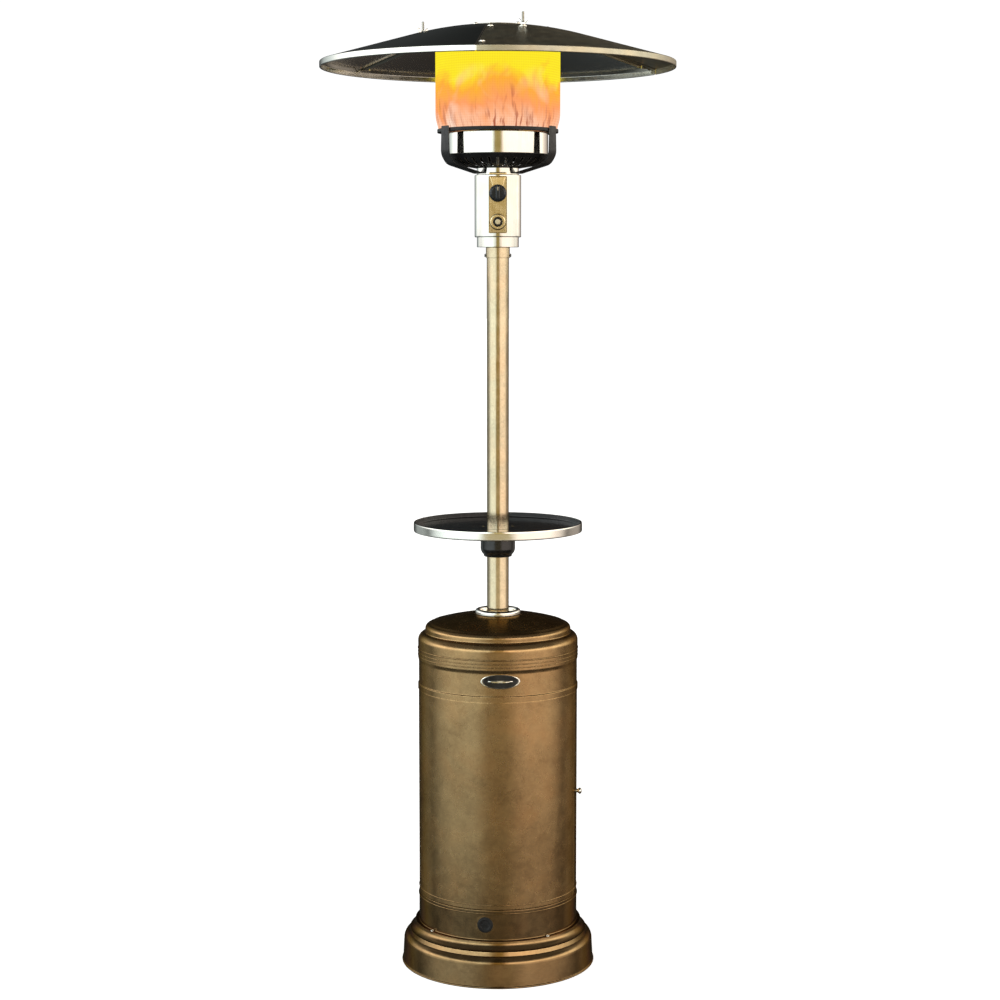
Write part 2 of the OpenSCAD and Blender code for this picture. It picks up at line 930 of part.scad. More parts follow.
// Cap of the emitter with three arms for the reflector studs.
module emitter_cap() {
  color(dark_steel)
    difference() {
      union() {
        rod(screen_r, top_z, top_z + 2);
        for (a = stud_az) block(a, 110, stud_ring + 9, 18, top_z + 1, top_z + 3.5);
      }
      for (a = stud_az) at(a, stud_ring, top_z - 1) cylinder(r = stud_r + hole_gap, h = 8);
    }
}

// Studs with their seats under the reflector.
module reflector_studs() {
  color(steel)
    for (a = stud_az)
      at(a, stud_ring, 0) {
        rod(stud_r, top_z - 3, apex_z + 11);
        rod(6, top_z - 3, top_z + 1);
        rod(6, top_z + 3.5, top_z + 8);
        rod(8, apex_z - 28.5, apex_z - 24.6);
      }
}

// Wing nuts on the studs.
module wing_nuts() {
  z0 = dish_top(stud_ring) + 2.8;
  color(steel)
    for (a = stud_az)
      at(a, stud_ring, 0)
        rotate([0, 0, 35])
          difference() {
            union() {
              rod(6, z0, z0 + 8);
              translate([-13, -1.2, z0 + 2]) cube([26, 2.4, 15]);
            }
            rod(stud_r, z0 - 1, z0 + 9);
            translate([-5, -2, z0 + 8]) cube([10, 4, 12]);
          }
}

// ---- reflector ----

// One third of the reflector starting at azimuth a0, with its rim lip.
module panel(a0) {
  steps = 10;
  knee = [for (i = [0:steps]) panel_in + (knee_r - panel_in) * i / steps];
  outer = concat([for (r = knee) [r, dish_top(r)]],
                 [[dish_r - 1.5, dish_top(dish_r - 1.5)], [dish_r, dish_top(dish_r) - 1],
                  [dish_r, dish_top(dish_r) - lip_h]]);
  inner = concat([for (r = knee) [r, dish_top(r) - thin]],
                 [[dish_r - thin, dish_top(dish_r) - thin - 0.6],
                  [dish_r - thin, dish_top(dish_r) - lip_h]]);
  color(steel)
    difference() {
      spun(concat(outer, reversed(inner)), a0 + 0.05, 119.9);
      for (a = stud_az) at(a, stud_ring, apex_z - 60) cylinder(r = stud_r + 0.5, h = 80);
      for (a = seam_az) {
        at(a, seam_out_r, apex_z - 120) cylinder(r = 2.6, h = 160);
        at(a, seam_in_r, apex_z - 60) cylinder(r = 2.6, h = 80);
        at(a + 60, cap_bolt_r, apex_z - 20) cylinder(r = 2.6, h = 40);
      }
    }
}

// Panel between the azimuths 145 and 265.
module panel_left() {
  panel(seam_az[1]);
}

// Panel between the azimuths 265 and 385.
module panel_right() {
  panel(seam_az[2]);
}

// Panel between the azimuths 25 and 145.
module panel_rear() {
  panel(seam_az[0]);
}

// Centre disc over the tips of the three panels.
module reflector_cap() {
  steps = 6;
  rs = [for (i = [0:steps]) cap_r * i / steps];
  color(steel)
    difference() {
      rotate_extrude()
        polygon(concat([for (r = rs) [r, dish_top(r) + thin + 0.1]],
                       [for (i = [steps:-1:0]) [rs[i], dish_top(rs[i]) + 0.1]]));
      for (a = seam_az) at(a + 60, cap_bolt_r, apex_z - 20) cylinder(r = 2.6, h = 40);
    }
}

// Bolts along the seams and through the centre disc.
module reflector_bolts() {
  out_z = dish_top(seam_out_r) + 1.6;
  in_z = dish_top(seam_in_r) + 1.6;
  cap_z = dish_top(cap_bolt_r) + thin + 0.5;
  color(steel)
    for (a = seam_az) {
      at(a, seam_out_r, 0) screw(2.5, 5, 3, out_z, 10);
      at(a, seam_in_r, 0) screw(2.5, 5, 3, in_z, 10);
      at(a + 60, cap_bolt_r, 0) screw(2.5, 5, 3, cap_z, 9);
    }
}

base_shell();
base_skirt();
base_screws();
ballast_tank();
tank_plug();
struts();
frame_bolts();
post_plate();
post_flange();
hood();
badge();
trim_ring();
front_shell();
rear_door();
hinge_fixed();
hinge_moving();
hinge_pins();
door_pull();
gas_bottle();
bottle_valve();
handwheel();
coupling_nut();
regulator();
gas_hose();
pole_lower();
pole_upper();
pole_sleeve();
table_top();
table_rim();
table_hub();
table_screws();
clamp_collar();
neck_collar();
neck_screws();
control_tube();
control_cover();
control_panel();
gas_valve();
valve_stem();
control_knob();
igniter_body();
igniter_button();
tilt_switch();
mixer_tube();
burner_head();
pilot_set();
burner_bowl();
burner_drum();
burner_ring();
head_brackets();
emitter_screen();
emitter_cap();
reflector_studs();
wing_nuts();
panel_left();
panel_right();
panel_rear();
reflector_cap();
reflector_bolts();
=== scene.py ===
"""Gas patio heater: turned, spun and folded surfaces with procedural finishes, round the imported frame.

Shapes are worked out in millimetres as numpy arrays and written to the meshes in metres. Every round
piece is a profile in the r-z plane carried round the pole axis x = 0, y = 0; the front is -Y.
"""

import math

import bmesh
import bpy
import numpy as np
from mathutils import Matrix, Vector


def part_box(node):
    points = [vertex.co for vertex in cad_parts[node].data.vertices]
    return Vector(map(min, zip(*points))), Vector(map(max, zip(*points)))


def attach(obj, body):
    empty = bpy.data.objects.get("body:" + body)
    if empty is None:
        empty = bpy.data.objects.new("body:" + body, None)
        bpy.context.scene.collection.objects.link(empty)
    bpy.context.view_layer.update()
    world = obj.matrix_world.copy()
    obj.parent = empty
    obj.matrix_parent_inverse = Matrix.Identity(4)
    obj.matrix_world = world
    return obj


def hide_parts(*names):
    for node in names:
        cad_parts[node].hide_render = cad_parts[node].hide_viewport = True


bl_info = {
    "name": "Patio heater surfaces",
    "version": (1, 0, 0),
    "blender": (4, 5, 0),
    "location": "3D View > Sidebar > Patio heater",
    "description": "Builds the spun, turned and folded pieces of a gas patio heater round its frame",
    "category": "Object",
}

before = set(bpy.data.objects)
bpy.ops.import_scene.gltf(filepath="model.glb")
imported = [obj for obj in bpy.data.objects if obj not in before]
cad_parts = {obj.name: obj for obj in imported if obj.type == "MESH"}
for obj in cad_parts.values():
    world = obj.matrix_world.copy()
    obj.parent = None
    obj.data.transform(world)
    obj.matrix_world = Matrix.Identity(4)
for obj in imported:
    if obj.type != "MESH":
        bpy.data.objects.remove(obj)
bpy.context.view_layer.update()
MM = 0.001
UP = np.array([0.0, 0.0, 1.0])
FORWARD = np.array([0.0, -1.0, 0.0])
SHARP_ANGLE = math.radians(32)
FINISHES = {}

# azimuths round the pole axis, in degrees from +X
BADGE_AZIMUTH = 271.8
PLUG_AZIMUTH = 261
PULL_AZIMUTH = -10
LEDGE_SCREWS = [217, 307, 37, 127]
STRAPS = [332, 212, 92]
SEAMS = [25, 145, 265]
STUDS = [48.5, 168.5, 288.5]
EITHER_SIDE = [0, 180]
WING_TURN = 35

# heights and radii that several pieces share, in millimetres
PLUG_HEIGHT = 140.0
FOOT_BORE = 215.0
DOME_HOLE = 40.0
CAP_RISE = 1.3
LAP_SINK = 1.45
PILOT_RING, AIR_RING, STUD_RING = 62.0, 92.0, 178.0


def low(node):
    """Lowest corner of a CAD node, in millimetres."""
    return np.array(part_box(node)[0]) / MM


def high(node):
    """Highest corner of a CAD node, in millimetres."""
    return np.array(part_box(node)[1]) / MM


def span(node):
    """Lowest and highest z of a CAD node."""
    return low(node)[2], high(node)[2]


def middle_z(node):
    """Height of the middle of a CAD node."""
    return sum(span(node)) / 2


# ---------------------------------------------------------------- profiles and grids


def arc(centre_r, centre_z, radius, start, end, steps=16):
    """Circular arc in the r-z plane: the centre plus the radius times the unit vector of each angle."""
    a = np.radians(np.linspace(start, end, steps + 1))
    return np.stack([centre_r + radius * np.cos(a), centre_z + radius * np.sin(a)], 1)


def bead(wall_r, z, radius, sink):
    """Half-round bead on a wall: the arc of a circle whose centre lies a little inside the wall."""
    reach = math.degrees(math.acos(sink / radius))
    return arc(wall_r - sink, z, radius, -reach, reach, 10)


def joined(*lines):
    """One line made of several."""
    return np.concatenate(lines)


def distinct(points, closed):
    """The same line without points that repeat the one before them."""
    step = np.linalg.norm(np.diff(points, axis=0), axis=1)
    points = points[np.r_[True, step > 1e-4]]
    if closed and np.linalg.norm(points[0] - points[-1]) < 1e-4:
        points = points[:-1]
    return points


def corners(points, radius, closed=False, steps=5):
    """Line with rounded corners: each corner P becomes the curve (1-t)^2 A + 2t(1-t) P + t^2 B,
    where A and B lie on the two sides, a radius away from P or a little under half a side."""
    p = np.array(points, float)
    reach = np.broadcast_to(np.array(radius, float), len(p)).copy()
    if not closed:
        reach[[0, -1]] = 0.0
    back, ahead = np.roll(p, 1, 0) - p, np.roll(p, -1, 0) - p
    back_len = np.linalg.norm(back, axis=1)[:, None]
    ahead_len = np.linalg.norm(ahead, axis=1)[:, None]
    cut = np.minimum(reach[:, None], 0.48 * np.minimum(back_len, ahead_len))
    a, b = p + back / back_len * cut, p + ahead / ahead_len * cut
    t = np.linspace(0, 1, steps + 1)[None, :, None]
    curve = (1 - t) ** 2 * a[:, None] + 2 * t * (1 - t) * p[:, None] + t**2 * b[:, None]
    return distinct(curve.reshape(-1, p.shape[1]), closed)


def guarded(points, closed):
    """Line with two extra points near the ends of each long side, so that the shading of a corner
    stays at the corner."""
    following = np.roll(points, -1, 0)
    side = following - points
    length = np.linalg.norm(side, axis=1)
    share = np.where(length > 3.0, np.minimum(0.7 / np.maximum(length, 1e-9), 0.3), 0.0)[:, None]
    triple = np.stack([points, points + side * share, following - side * share], 1)
    flat = triple.reshape(-1, points.shape[1])
    if not closed:
        flat = np.concatenate([flat[:-3], points[-1:]])
    return distinct(flat, closed)


def grid(rows, columns, wrap_rows, wrap_columns):
    """Quads between neighbouring points of a grid, turned so that a profile that runs up the outside
    faces outwards."""
    i, j = np.meshgrid(
        np.arange(rows if wrap_rows else rows - 1),
        np.arange(columns if wrap_columns else columns - 1),
        indexing="ij",
    )
    i2, j2 = (i + 1) % rows, (j + 1) % columns
    quads = np.stack([i * columns + j, i * columns + j2, i2 * columns + j2, i2 * columns + j], -1)
    return quads.reshape(-1, 4)


def spun(profile, closed=False, start=0.0, turn=360.0, step=2.8125):
    """Profile (r, z) carried round the axis: x = r cos a, y = r sin a. An open profile that begins
    and ends on the axis makes a solid."""
    p = guarded(np.array(profile, float), closed)
    full = turn >= 360.0
    count = int(round(turn / step))
    a = np.radians(start + np.linspace(0, turn, count + 1)[: count if full else None])
    around = np.stack([np.cos(a), np.sin(a), np.zeros_like(a)], 1)
    points = p[:, 0, None, None] * around[None] + p[:, 1, None, None] * UP
    return points.reshape(-1, 3), grid(len(p), len(a), closed, full)


def round_bar(radius, z0, z1):
    """Plain round bar on the axis."""
    return spun([[0, z0], [radius, z0], [radius, z1], [0, z1]])


def aimed(part, place, along):
    """Part turned so that its own z axis points along a direction, with its origin at a place."""
    points, quads = part
    w = np.array(along, float) / np.linalg.norm(along)
    side = np.cross(UP, w)
    u = side / np.linalg.norm(side) if np.linalg.norm(side) > 1e-6 else np.array([1.0, 0, 0])
    turned = points @ np.stack([u, np.cross(w, u), w])
    return turned + np.array(place, float), quads


def facing(part, height):
    """Part turned so that its own z axis points to the front, at a height on the pole axis."""
    return aimed(part, [0, 0, height], FORWARD)


def moved(part, shift):
    """Part shifted by a vector."""
    return part[0] + np.array(shift, float), part[1]


def about(part, azimuths):
    """Copies of a part turned about the pole axis to each azimuth."""
    points, quads = part
    a = np.radians(np.array(azimuths, float))
    flat = np.zeros_like(a)
    turns = np.stack(
        [
            np.stack([np.cos(a), -np.sin(a), flat], 1),
            np.stack([np.sin(a), np.cos(a), flat], 1),
            np.stack([flat, flat, flat + 1], 1),
        ],
        1,
    )
    placed = np.einsum("kij,nj->kni", turns, points)
    return [(copy, quads) for copy in placed]


def repeated(parts, azimuths):
    """Copies of several parts turned about the pole axis to each azimuth."""
    return [copy for part in parts for copy in about(part, azimuths)]


def radial(azimuth):
    """Unit vector that points away from the axis at an azimuth."""
    a = math.radians(azimuth)
    return np.array([math.cos(a), math.sin(a), 0.0])


def loft(sections):
    """Closed skin over a stack of closed outlines (rows, columns, 3), shut at both ends by fans to the
    middle of the end outlines."""
    s = np.array(sections, float)
    first = np.broadcast_to(s[:1].mean(1, keepdims=True), s[:1].shape)
    last = np.broadcast_to(s[-1:].mean(1, keepdims=True), s[-1:].shape)
    s = np.concatenate([first, s, last])
    return s.reshape(-1, 3), grid(s.shape[0], s.shape[1], False, True)


def prism(outline, z0, z1, edge=0.0):
    """Closed outline (x, y) carried straight from z0 to z1; the edge draws it in at both ends by a
    quarter-round step."""
    p = np.array(outline, float)
    middle = p.mean(0)
    reach = np.abs(p - middle).max()
    t = np.radians([0, 30, 60, 90])
    pull, rise = edge * (1 - np.sin(t)), edge * (1 - np.cos(t))
    inset = np.concatenate([pull, pull[::-1]]) / reach
    heights = np.concatenate([z0 + rise, z1 - rise[::-1]])
    if edge == 0.0:
        inset, heights = np.zeros(2), np.array([z0, z1])
    flat = middle + (p - middle)[None] * (1 - inset)[:, None, None]
    z = np.broadcast_to(heights[:, None, None], (*flat.shape[:2], 1))
    return loft(np.concatenate([flat, z], 2))


def plate_outline(half_x, half_y, radius):
    """Rectangle with rounded corners round the origin."""
    box = [[half_x, -half_y], [half_x, half_y], [-half_x, half_y], [-half_x, -half_y]]
    return corners(box, radius, closed=True, steps=6)


def cushion(half, power, rows=25, columns=48):
    """Rounded block: the superellipsoid x = a c(v) c(u), y = b c(v) s(u), z = h s(v), where c and s are
    the cosine and sine raised to a small power that keeps their sign."""
    v = np.linspace(-math.pi / 2, math.pi / 2, rows)[:, None]
    u = np.linspace(0, 2 * math.pi, columns, endpoint=False)[None]

    def bent(value):
        return np.sign(value) * np.abs(value) ** power

    x = half[0] * bent(np.cos(v)) * bent(np.cos(u))
    y = half[1] * bent(np.cos(v)) * bent(np.sin(u))
    z = half[2] * bent(np.sin(v)) * np.ones_like(u)
    return np.stack([x, y, z], 2).reshape(-1, 3), grid(rows, columns, False, True)


def pan_head(radius, height, shank_r, shank, washer=0.0):
    """Screw on z = 0: shank, optional washer, domed head and cross recess. At angle a the recess
    reaches max(min(L/|cos|, w/|sin|), min(w/|cos|, L/|sin|)); the dome height is h sqrt(1 - (r/R)^2)."""
    a = np.linspace(0, 2 * math.pi, 48, endpoint=False)
    c, s = np.maximum(np.abs(np.cos(a)), 1e-6), np.maximum(np.abs(np.sin(a)), 1e-6)
    arm, half = 0.52 * radius, 0.13 * radius
    cross = np.maximum(np.minimum(arm / c, half / s), np.minimum(half / c, arm / s))
    plain = np.ones_like(a)
    rows = [(0 * plain, -shank), (shank_r * plain, -shank), (shank_r * plain, 0.0)]
    if washer:
        wide = radius * 1.45
        rows += [(wide * plain, 0.0), (wide * plain, washer * 0.8), (wide * 0.97 * plain, washer)]
    rows += [(radius * plain, washer), (radius * plain, washer + height * 0.35)]
    for t in np.linspace(0.12, 1, 7):
        rho = radius * (1 - t) + cross * t
        dome = 0.35 + 0.65 * np.sqrt(np.maximum(1 - (rho / radius) ** 2, 0.0))
        rows.append((rho, washer + height * dome))
    rows += [(cross * 0.82, washer + height * 0.45), (0 * plain, washer + height * 0.4)]
    rho = np.stack([r for r, z in rows])
    z = np.stack([z * plain for r, z in rows])
    points = np.stack([rho * np.cos(a), rho * np.sin(a), z], 2)
    return points.reshape(-1, 3), grid(len(rows), len(a), False, True)


def hexagon(across, z0, z1):
    """Hexagon nut blank: outline radius f / cos(a - nearest flat), chamfered by the prism's edge."""
    a = np.linspace(0, 2 * math.pi, 60, endpoint=False)
    r = across / 2 / np.cos((a + math.pi / 6) % (math.pi / 3) - math.pi / 6)
    return prism(np.stack([r * np.cos(a), r * np.sin(a)], 1), z0, z1, 0.5)


# ---------------------------------------------------------------- making pieces


def mesh_object(name, parts):
    """Object whose mesh holds the parts, with doubles merged and poles closed."""
    starts = np.cumsum([0] + [len(points) for points, quads in parts[:-1]])
    points = np.concatenate([points for points, quads in parts]) * MM
    quads = np.concatenate([quads + start for (_, quads), start in zip(parts, starts)])
    mesh = bpy.data.meshes.new(name)
    mesh.from_pydata(points.tolist(), [], quads.tolist())
    work = bmesh.new()
    work.from_mesh(mesh)
    bmesh.ops.remove_doubles(work, verts=work.verts, dist=1e-6)
    bmesh.ops.dissolve_degenerate(work, edges=work.edges, dist=1e-7)
    work.to_mesh(mesh)
    work.free()
    item = bpy.data.objects.new(name, mesh)
    bpy.context.scene.collection.objects.link(item)
    return item


def baked_in(item):
    """Replaces an object's mesh by what its modifiers make of it."""
    graph = bpy.context.evaluated_depsgraph_get()
    mesh = bpy.data.meshes.new_from_object(item.evaluated_get(graph))
    old = item.data
    item.modifiers.clear()
    item.data = mesh
    bpy.data.meshes.remove(old)
    mesh.name = item.name


def mark_edges(mesh):
    """Stores how far each point stands out from its neighbours, as the attribute edge_wear: the mean
    over its edges of the normal times the unit vector from the neighbour."""
    count = len(mesh.vertices)
    co, normal = np.empty(count * 3), np.empty(count * 3)
    mesh.vertices.foreach_get("co", co)
    mesh.vertex_normals.foreach_get("vector", normal)
    co, normal = co.reshape(-1, 3), normal.reshape(-1, 3)
    ends = np.empty(len(mesh.edges) * 2, np.int32)
    mesh.edges.foreach_get("vertices", ends)
    a, b = ends.reshape(-1, 2).T
    line = co[a] - co[b]
    line /= np.maximum(np.linalg.norm(line, axis=1), 1e-12)[:, None]
    total, edges = np.zeros(count), np.zeros(count)
    np.add.at(total, a, np.einsum("ij,ij->i", normal[a], line))
    np.add.at(total, b, -np.einsum("ij,ij->i", normal[b], line))
    np.add.at(edges, a, 1)
    np.add.at(edges, b, 1)
    wear = np.clip(total / np.maximum(edges, 1) * 3.0, 0, 1)
    mesh.attributes.new("edge_wear", "FLOAT", "POINT").data.foreach_set("value", wear.astype(np.float32))


def make(name, parts, finish, nodes=(), wall=0.0, cut=(), body="heater"):
    """One finished piece: the parts, a sheet thickness added on the inner side, cut-outs taken away,
    smooth shading with sharp edges by angle, its finish, its body and what it replaces."""
    item = mesh_object(name, parts)
    if wall:
        solid = item.modifiers.new("wall", "SOLIDIFY")
        solid.thickness, solid.offset = wall * MM, -1.0
        solid.use_even_offset = True
        baked_in(item)
    else:
        work = bmesh.new()
        work.from_mesh(item.data)
        bmesh.ops.recalc_face_normals(work, faces=work.faces)
        work.to_mesh(item.data)
        work.free()
    if cut:
        tool = mesh_object(name + "_cutter", list(cut))
        carve = item.modifiers.new("cut", "BOOLEAN")
        carve.operation, carve.solver, carve.object = "DIFFERENCE", "EXACT", tool
        baked_in(item)
        bpy.data.objects.remove(tool)
    item.data.shade_smooth()
    item.data.set_sharp_from_angle(angle=SHARP_ANGLE)
    mark_edges(item.data)
    item.data.materials.clear()
    item.data.materials.append(FINISHES[finish])
    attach(item, body)
    if nodes:
        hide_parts(*nodes)


# ---------------------------------------------------------------- finishes


class Wiring:
    """Short ways to add nodes to a tree and link them; where is the coordinate that patterns read."""

    def __init__(self, tree, coordinate):
        self.nodes, self.links = tree.nodes, tree.links
        self.where = self.nodes.new("ShaderNodeTexCoord").outputs[coordinate]

    def put(self, socket, value):
        """Links an output to a socket, or sets the socket to a plain value."""
        if isinstance(value, bpy.types.NodeSocket):
            self.links.new(value, socket)
        else:
            socket.default_value = value

    def sum(self, operation, first, second, clamp=False):
        """Math node of two values."""
        node = self.nodes.new("ShaderNodeMath")
        node.operation, node.use_clamp = operation, clamp
        self.put(node.inputs[0], first)
        self.put(node.inputs[1], second)
        return node.outputs[0]

    def axis(self, name):
        """One part of the coordinate that patterns read."""
        node = self.nodes.new("ShaderNodeSeparateXYZ")
        self.put(node.inputs[0], self.where)
        return node.outputs[name]

    def azimuth(self):
        """Angle round the pole axis, in radians."""
        return self.sum("ARCTAN2", self.axis("Y"), self.axis("X"))

    def pair(self, first, second):
        """Coordinate made of two values."""
        node = self.nodes.new("ShaderNodeCombineXYZ")
        self.put(node.inputs[0], first)
        self.put(node.inputs[1], second)
        return node.outputs[0]

    def noise(self, scale, stretch=(1, 1, 1), detail=3.0, rough=0.55, twist=0.0):
        """Noise of features one over scale in size, stretched along the axes."""
        place = self.nodes.new("ShaderNodeMapping")
        self.put(place.inputs["Vector"], self.where)
        place.inputs["Scale"].default_value = stretch
        node = self.nodes.new("ShaderNodeTexNoise")
        self.put(node.inputs["Vector"], place.outputs[0])
        values = {"Scale": scale, "Detail": detail, "Roughness": rough, "Distortion": twist}
        for socket, value in values.items():
            node.inputs[socket].default_value = value
        return node.outputs["Fac"]

    def remap(self, value, old, new, smooth=False):
        """Value moved from one range to another and held at its ends."""
        node = self.nodes.new("ShaderNodeMapRange")
        node.interpolation_type = "SMOOTHSTEP" if smooth else "LINEAR"
        self.put(node.inputs[0], value)
        for socket, number in zip(node.inputs[1:5], (*old, *new)):
            socket.default_value = number
        return node.outputs[0]

    def blend(self, amount, first, second, how="MIX"):
        """Mix of two colours."""
        node = self.nodes.new("ShaderNodeMix")
        node.data_type, node.blend_type = "RGBA", how
        self.put(node.inputs[0], amount)
        self.put(node.inputs[6], rgba(first))
        self.put(node.inputs[7], rgba(second))
        return node.outputs[2]

    def ramp(self, value, stops):
        """Colour ramp through (place, colour) stops."""
        node = self.nodes.new("ShaderNodeValToRGB")
        self.put(node.inputs[0], value)
        band = node.color_ramp
        while len(band.elements) < len(stops):
            band.elements.new(1.0)
        for element, (place, colour) in zip(band.elements, stops):
            element.position, element.color = place, rgba(colour)
        return node.outputs[0]


class Finish(Wiring):
    """A procedural material being wired: noises on Object coordinates are remapped to colour,
    roughness and height on a Principled shader."""

    def __init__(self, name, constants):
        material = bpy.data.materials.new(name)
        material.use_nodes = True
        super().__init__(material.node_tree, "Object")
        self.shader = self.nodes["Principled BSDF"]
        for socket, value in constants.items():
            self.shader.inputs[socket].default_value = value
        FINISHES[name] = material

    def drive(self, name, value):
        """Feeds one socket of the shader."""
        self.put(self.shader.inputs[name], value)

    def wear(self, threshold=0.25):
        """Mask of rubbed edges: the edge_wear attribute broken up by noise."""
        node = self.nodes.new("ShaderNodeAttribute")
        node.attribute_name = "edge_wear"
        chips = self.remap(self.noise(160), (0.3, 0.7), (0.4, 1.6))
        broken = self.sum("MULTIPLY", node.outputs["Fac"], chips)
        return self.remap(broken, (threshold, threshold + 0.5), (0.0, 1.0))

    def bump(self, height, distance, strength=1.0):
        """Feeds a height in millimetres to the shader's normal."""
        node = self.nodes.new("ShaderNodeBump")
        node.inputs["Strength"].default_value = strength
        node.inputs["Distance"].default_value = distance * MM
        self.put(node.inputs["Height"], height)
        self.drive("Normal", node.outputs[0])


def rgba(colour):
    """Colour with its fourth number, left alone if it's an output."""
    if isinstance(colour, bpy.types.NodeSocket) or len(colour) == 4:
        return colour
    return (*colour, 1.0)


def times(colour, factor):
    """Colour made lighter or darker."""
    return tuple(min(c * factor, 1.0) for c in colour[:3])


def metal_paint(name, light, dark, bright, roughness, grain, coat, relief):
    """Metallic paint: cloudy light and dark tones, fine flake, orange-peel surface, rubbed edges."""
    dim_rim = (0.22, 0.20, 0.17, 1.0)
    shine = {"Metallic": 0.94, "Coat Weight": coat, "Coat Roughness": 0.09, "Specular Tint": dim_rim}
    f = Finish(name, shine)
    cloud = f.sum("ADD", f.noise(5.5, detail=2), f.sum("MULTIPLY", f.noise(26, detail=5, twist=0.6), 0.8))
    tone = f.blend(f.remap(cloud, (0.70, 1.10), (0, 1)), dark, light)
    patch = f.remap(f.noise(11, detail=3, twist=0.4), (0.40, 0.76), (0, 0.55), smooth=True)
    tone = f.blend(patch, tone, tuple(c * k for c, k in zip(light, (1.0, 0.80, 0.68))))
    speck = f.remap(f.noise(grain, detail=2, rough=0.7), (0.35, 0.68), (0, 1))
    tone = f.blend(f.sum("MULTIPLY", speck, 0.25), tone, times(light, 1.35))
    flake = f.remap(f.noise(2600, detail=1), (0.56, 0.7), (0, 0.5))
    tone = f.blend(flake, tone, times(light, 1.7))
    worn = f.wear()
    f.drive("Base Color", f.blend(worn, tone, bright))
    rough = f.remap(f.noise(38, detail=4), (0.3, 0.7), (roughness - 0.05, roughness + 0.07))
    f.drive("Roughness", f.sum("SUBTRACT", rough, f.sum("MULTIPLY", worn, 0.12)))
    height = f.sum("ADD", f.noise(420, detail=2), f.sum("MULTIPLY", f.noise(2600, detail=1), 0.25))
    f.bump(height, relief, 0.5)


def drawn_metal(name, colour, roughness, lines, tint, spread=0.05, around=False, warm=0.12):
    """Polished or drawn metal: hair lines along or round the axis, faint stains, worn edges."""
    f = Finish(name, {"Metallic": 1.0})
    stretch = (0.05, 0.05, 1.0) if around else (1.0, 1.0, 0.02)
    hair = f.noise(lines, stretch, detail=4, rough=0.7)
    stain = f.remap(f.noise(17, detail=4, twist=0.5), (0.42, 0.72), (0, 1))
    base = f.blend(f.remap(hair, (0.3, 0.7), (0, 1)), times(colour, 0.93), times(colour, 1.05))
    f.drive("Base Color", f.blend(f.sum("MULTIPLY", stain, warm), base, tint))
    smear = f.remap(f.noise(55, detail=5), (0.35, 0.7), (-0.4 * spread, spread))
    rough = f.sum("ADD", f.remap(hair, (0.3, 0.7), (roughness, roughness + spread)), smear)
    f.drive("Roughness", f.sum("SUBTRACT", rough, f.sum("MULTIPLY", f.wear(), 0.03), clamp=True))
    f.bump(f.sum("ADD", hair, f.noise(9, detail=2)), 0.008, 0.5)


def dark_coat(name, colour, rubbed, roughness, grain, depth, metallic=0.0, coat=0.0, edge=0.3):
    """Black paint or plastic: dust-grey mottling, fine grain, scuffs and rubbed edges."""
    shine = {"Metallic": metallic, "Coat Weight": coat, "Coat Roughness": 0.08, "Specular IOR Level": 0.25}
    f = Finish(name, shine)
    dust = f.remap(f.noise(34, detail=6, rough=0.65), (0.45, 0.8), (0, 0.5))
    tone = f.blend(dust, colour, times(tuple(c + 0.012 for c in colour), 1.7))
    scuff = f.remap(f.noise(240, (1, 1, 0.15), detail=2), (0.64, 0.72), (0, 0.25))
    tone = f.blend(scuff, tone, times(rubbed, 0.7))
    f.drive("Base Color", f.blend(f.wear(edge), tone, rubbed))
    f.drive("Roughness", f.remap(f.noise(70, detail=5), (0.3, 0.7), (roughness - 0.04, roughness + 0.1)))
    f.bump(f.noise(grain, detail=3, rough=0.6), depth, 0.6)


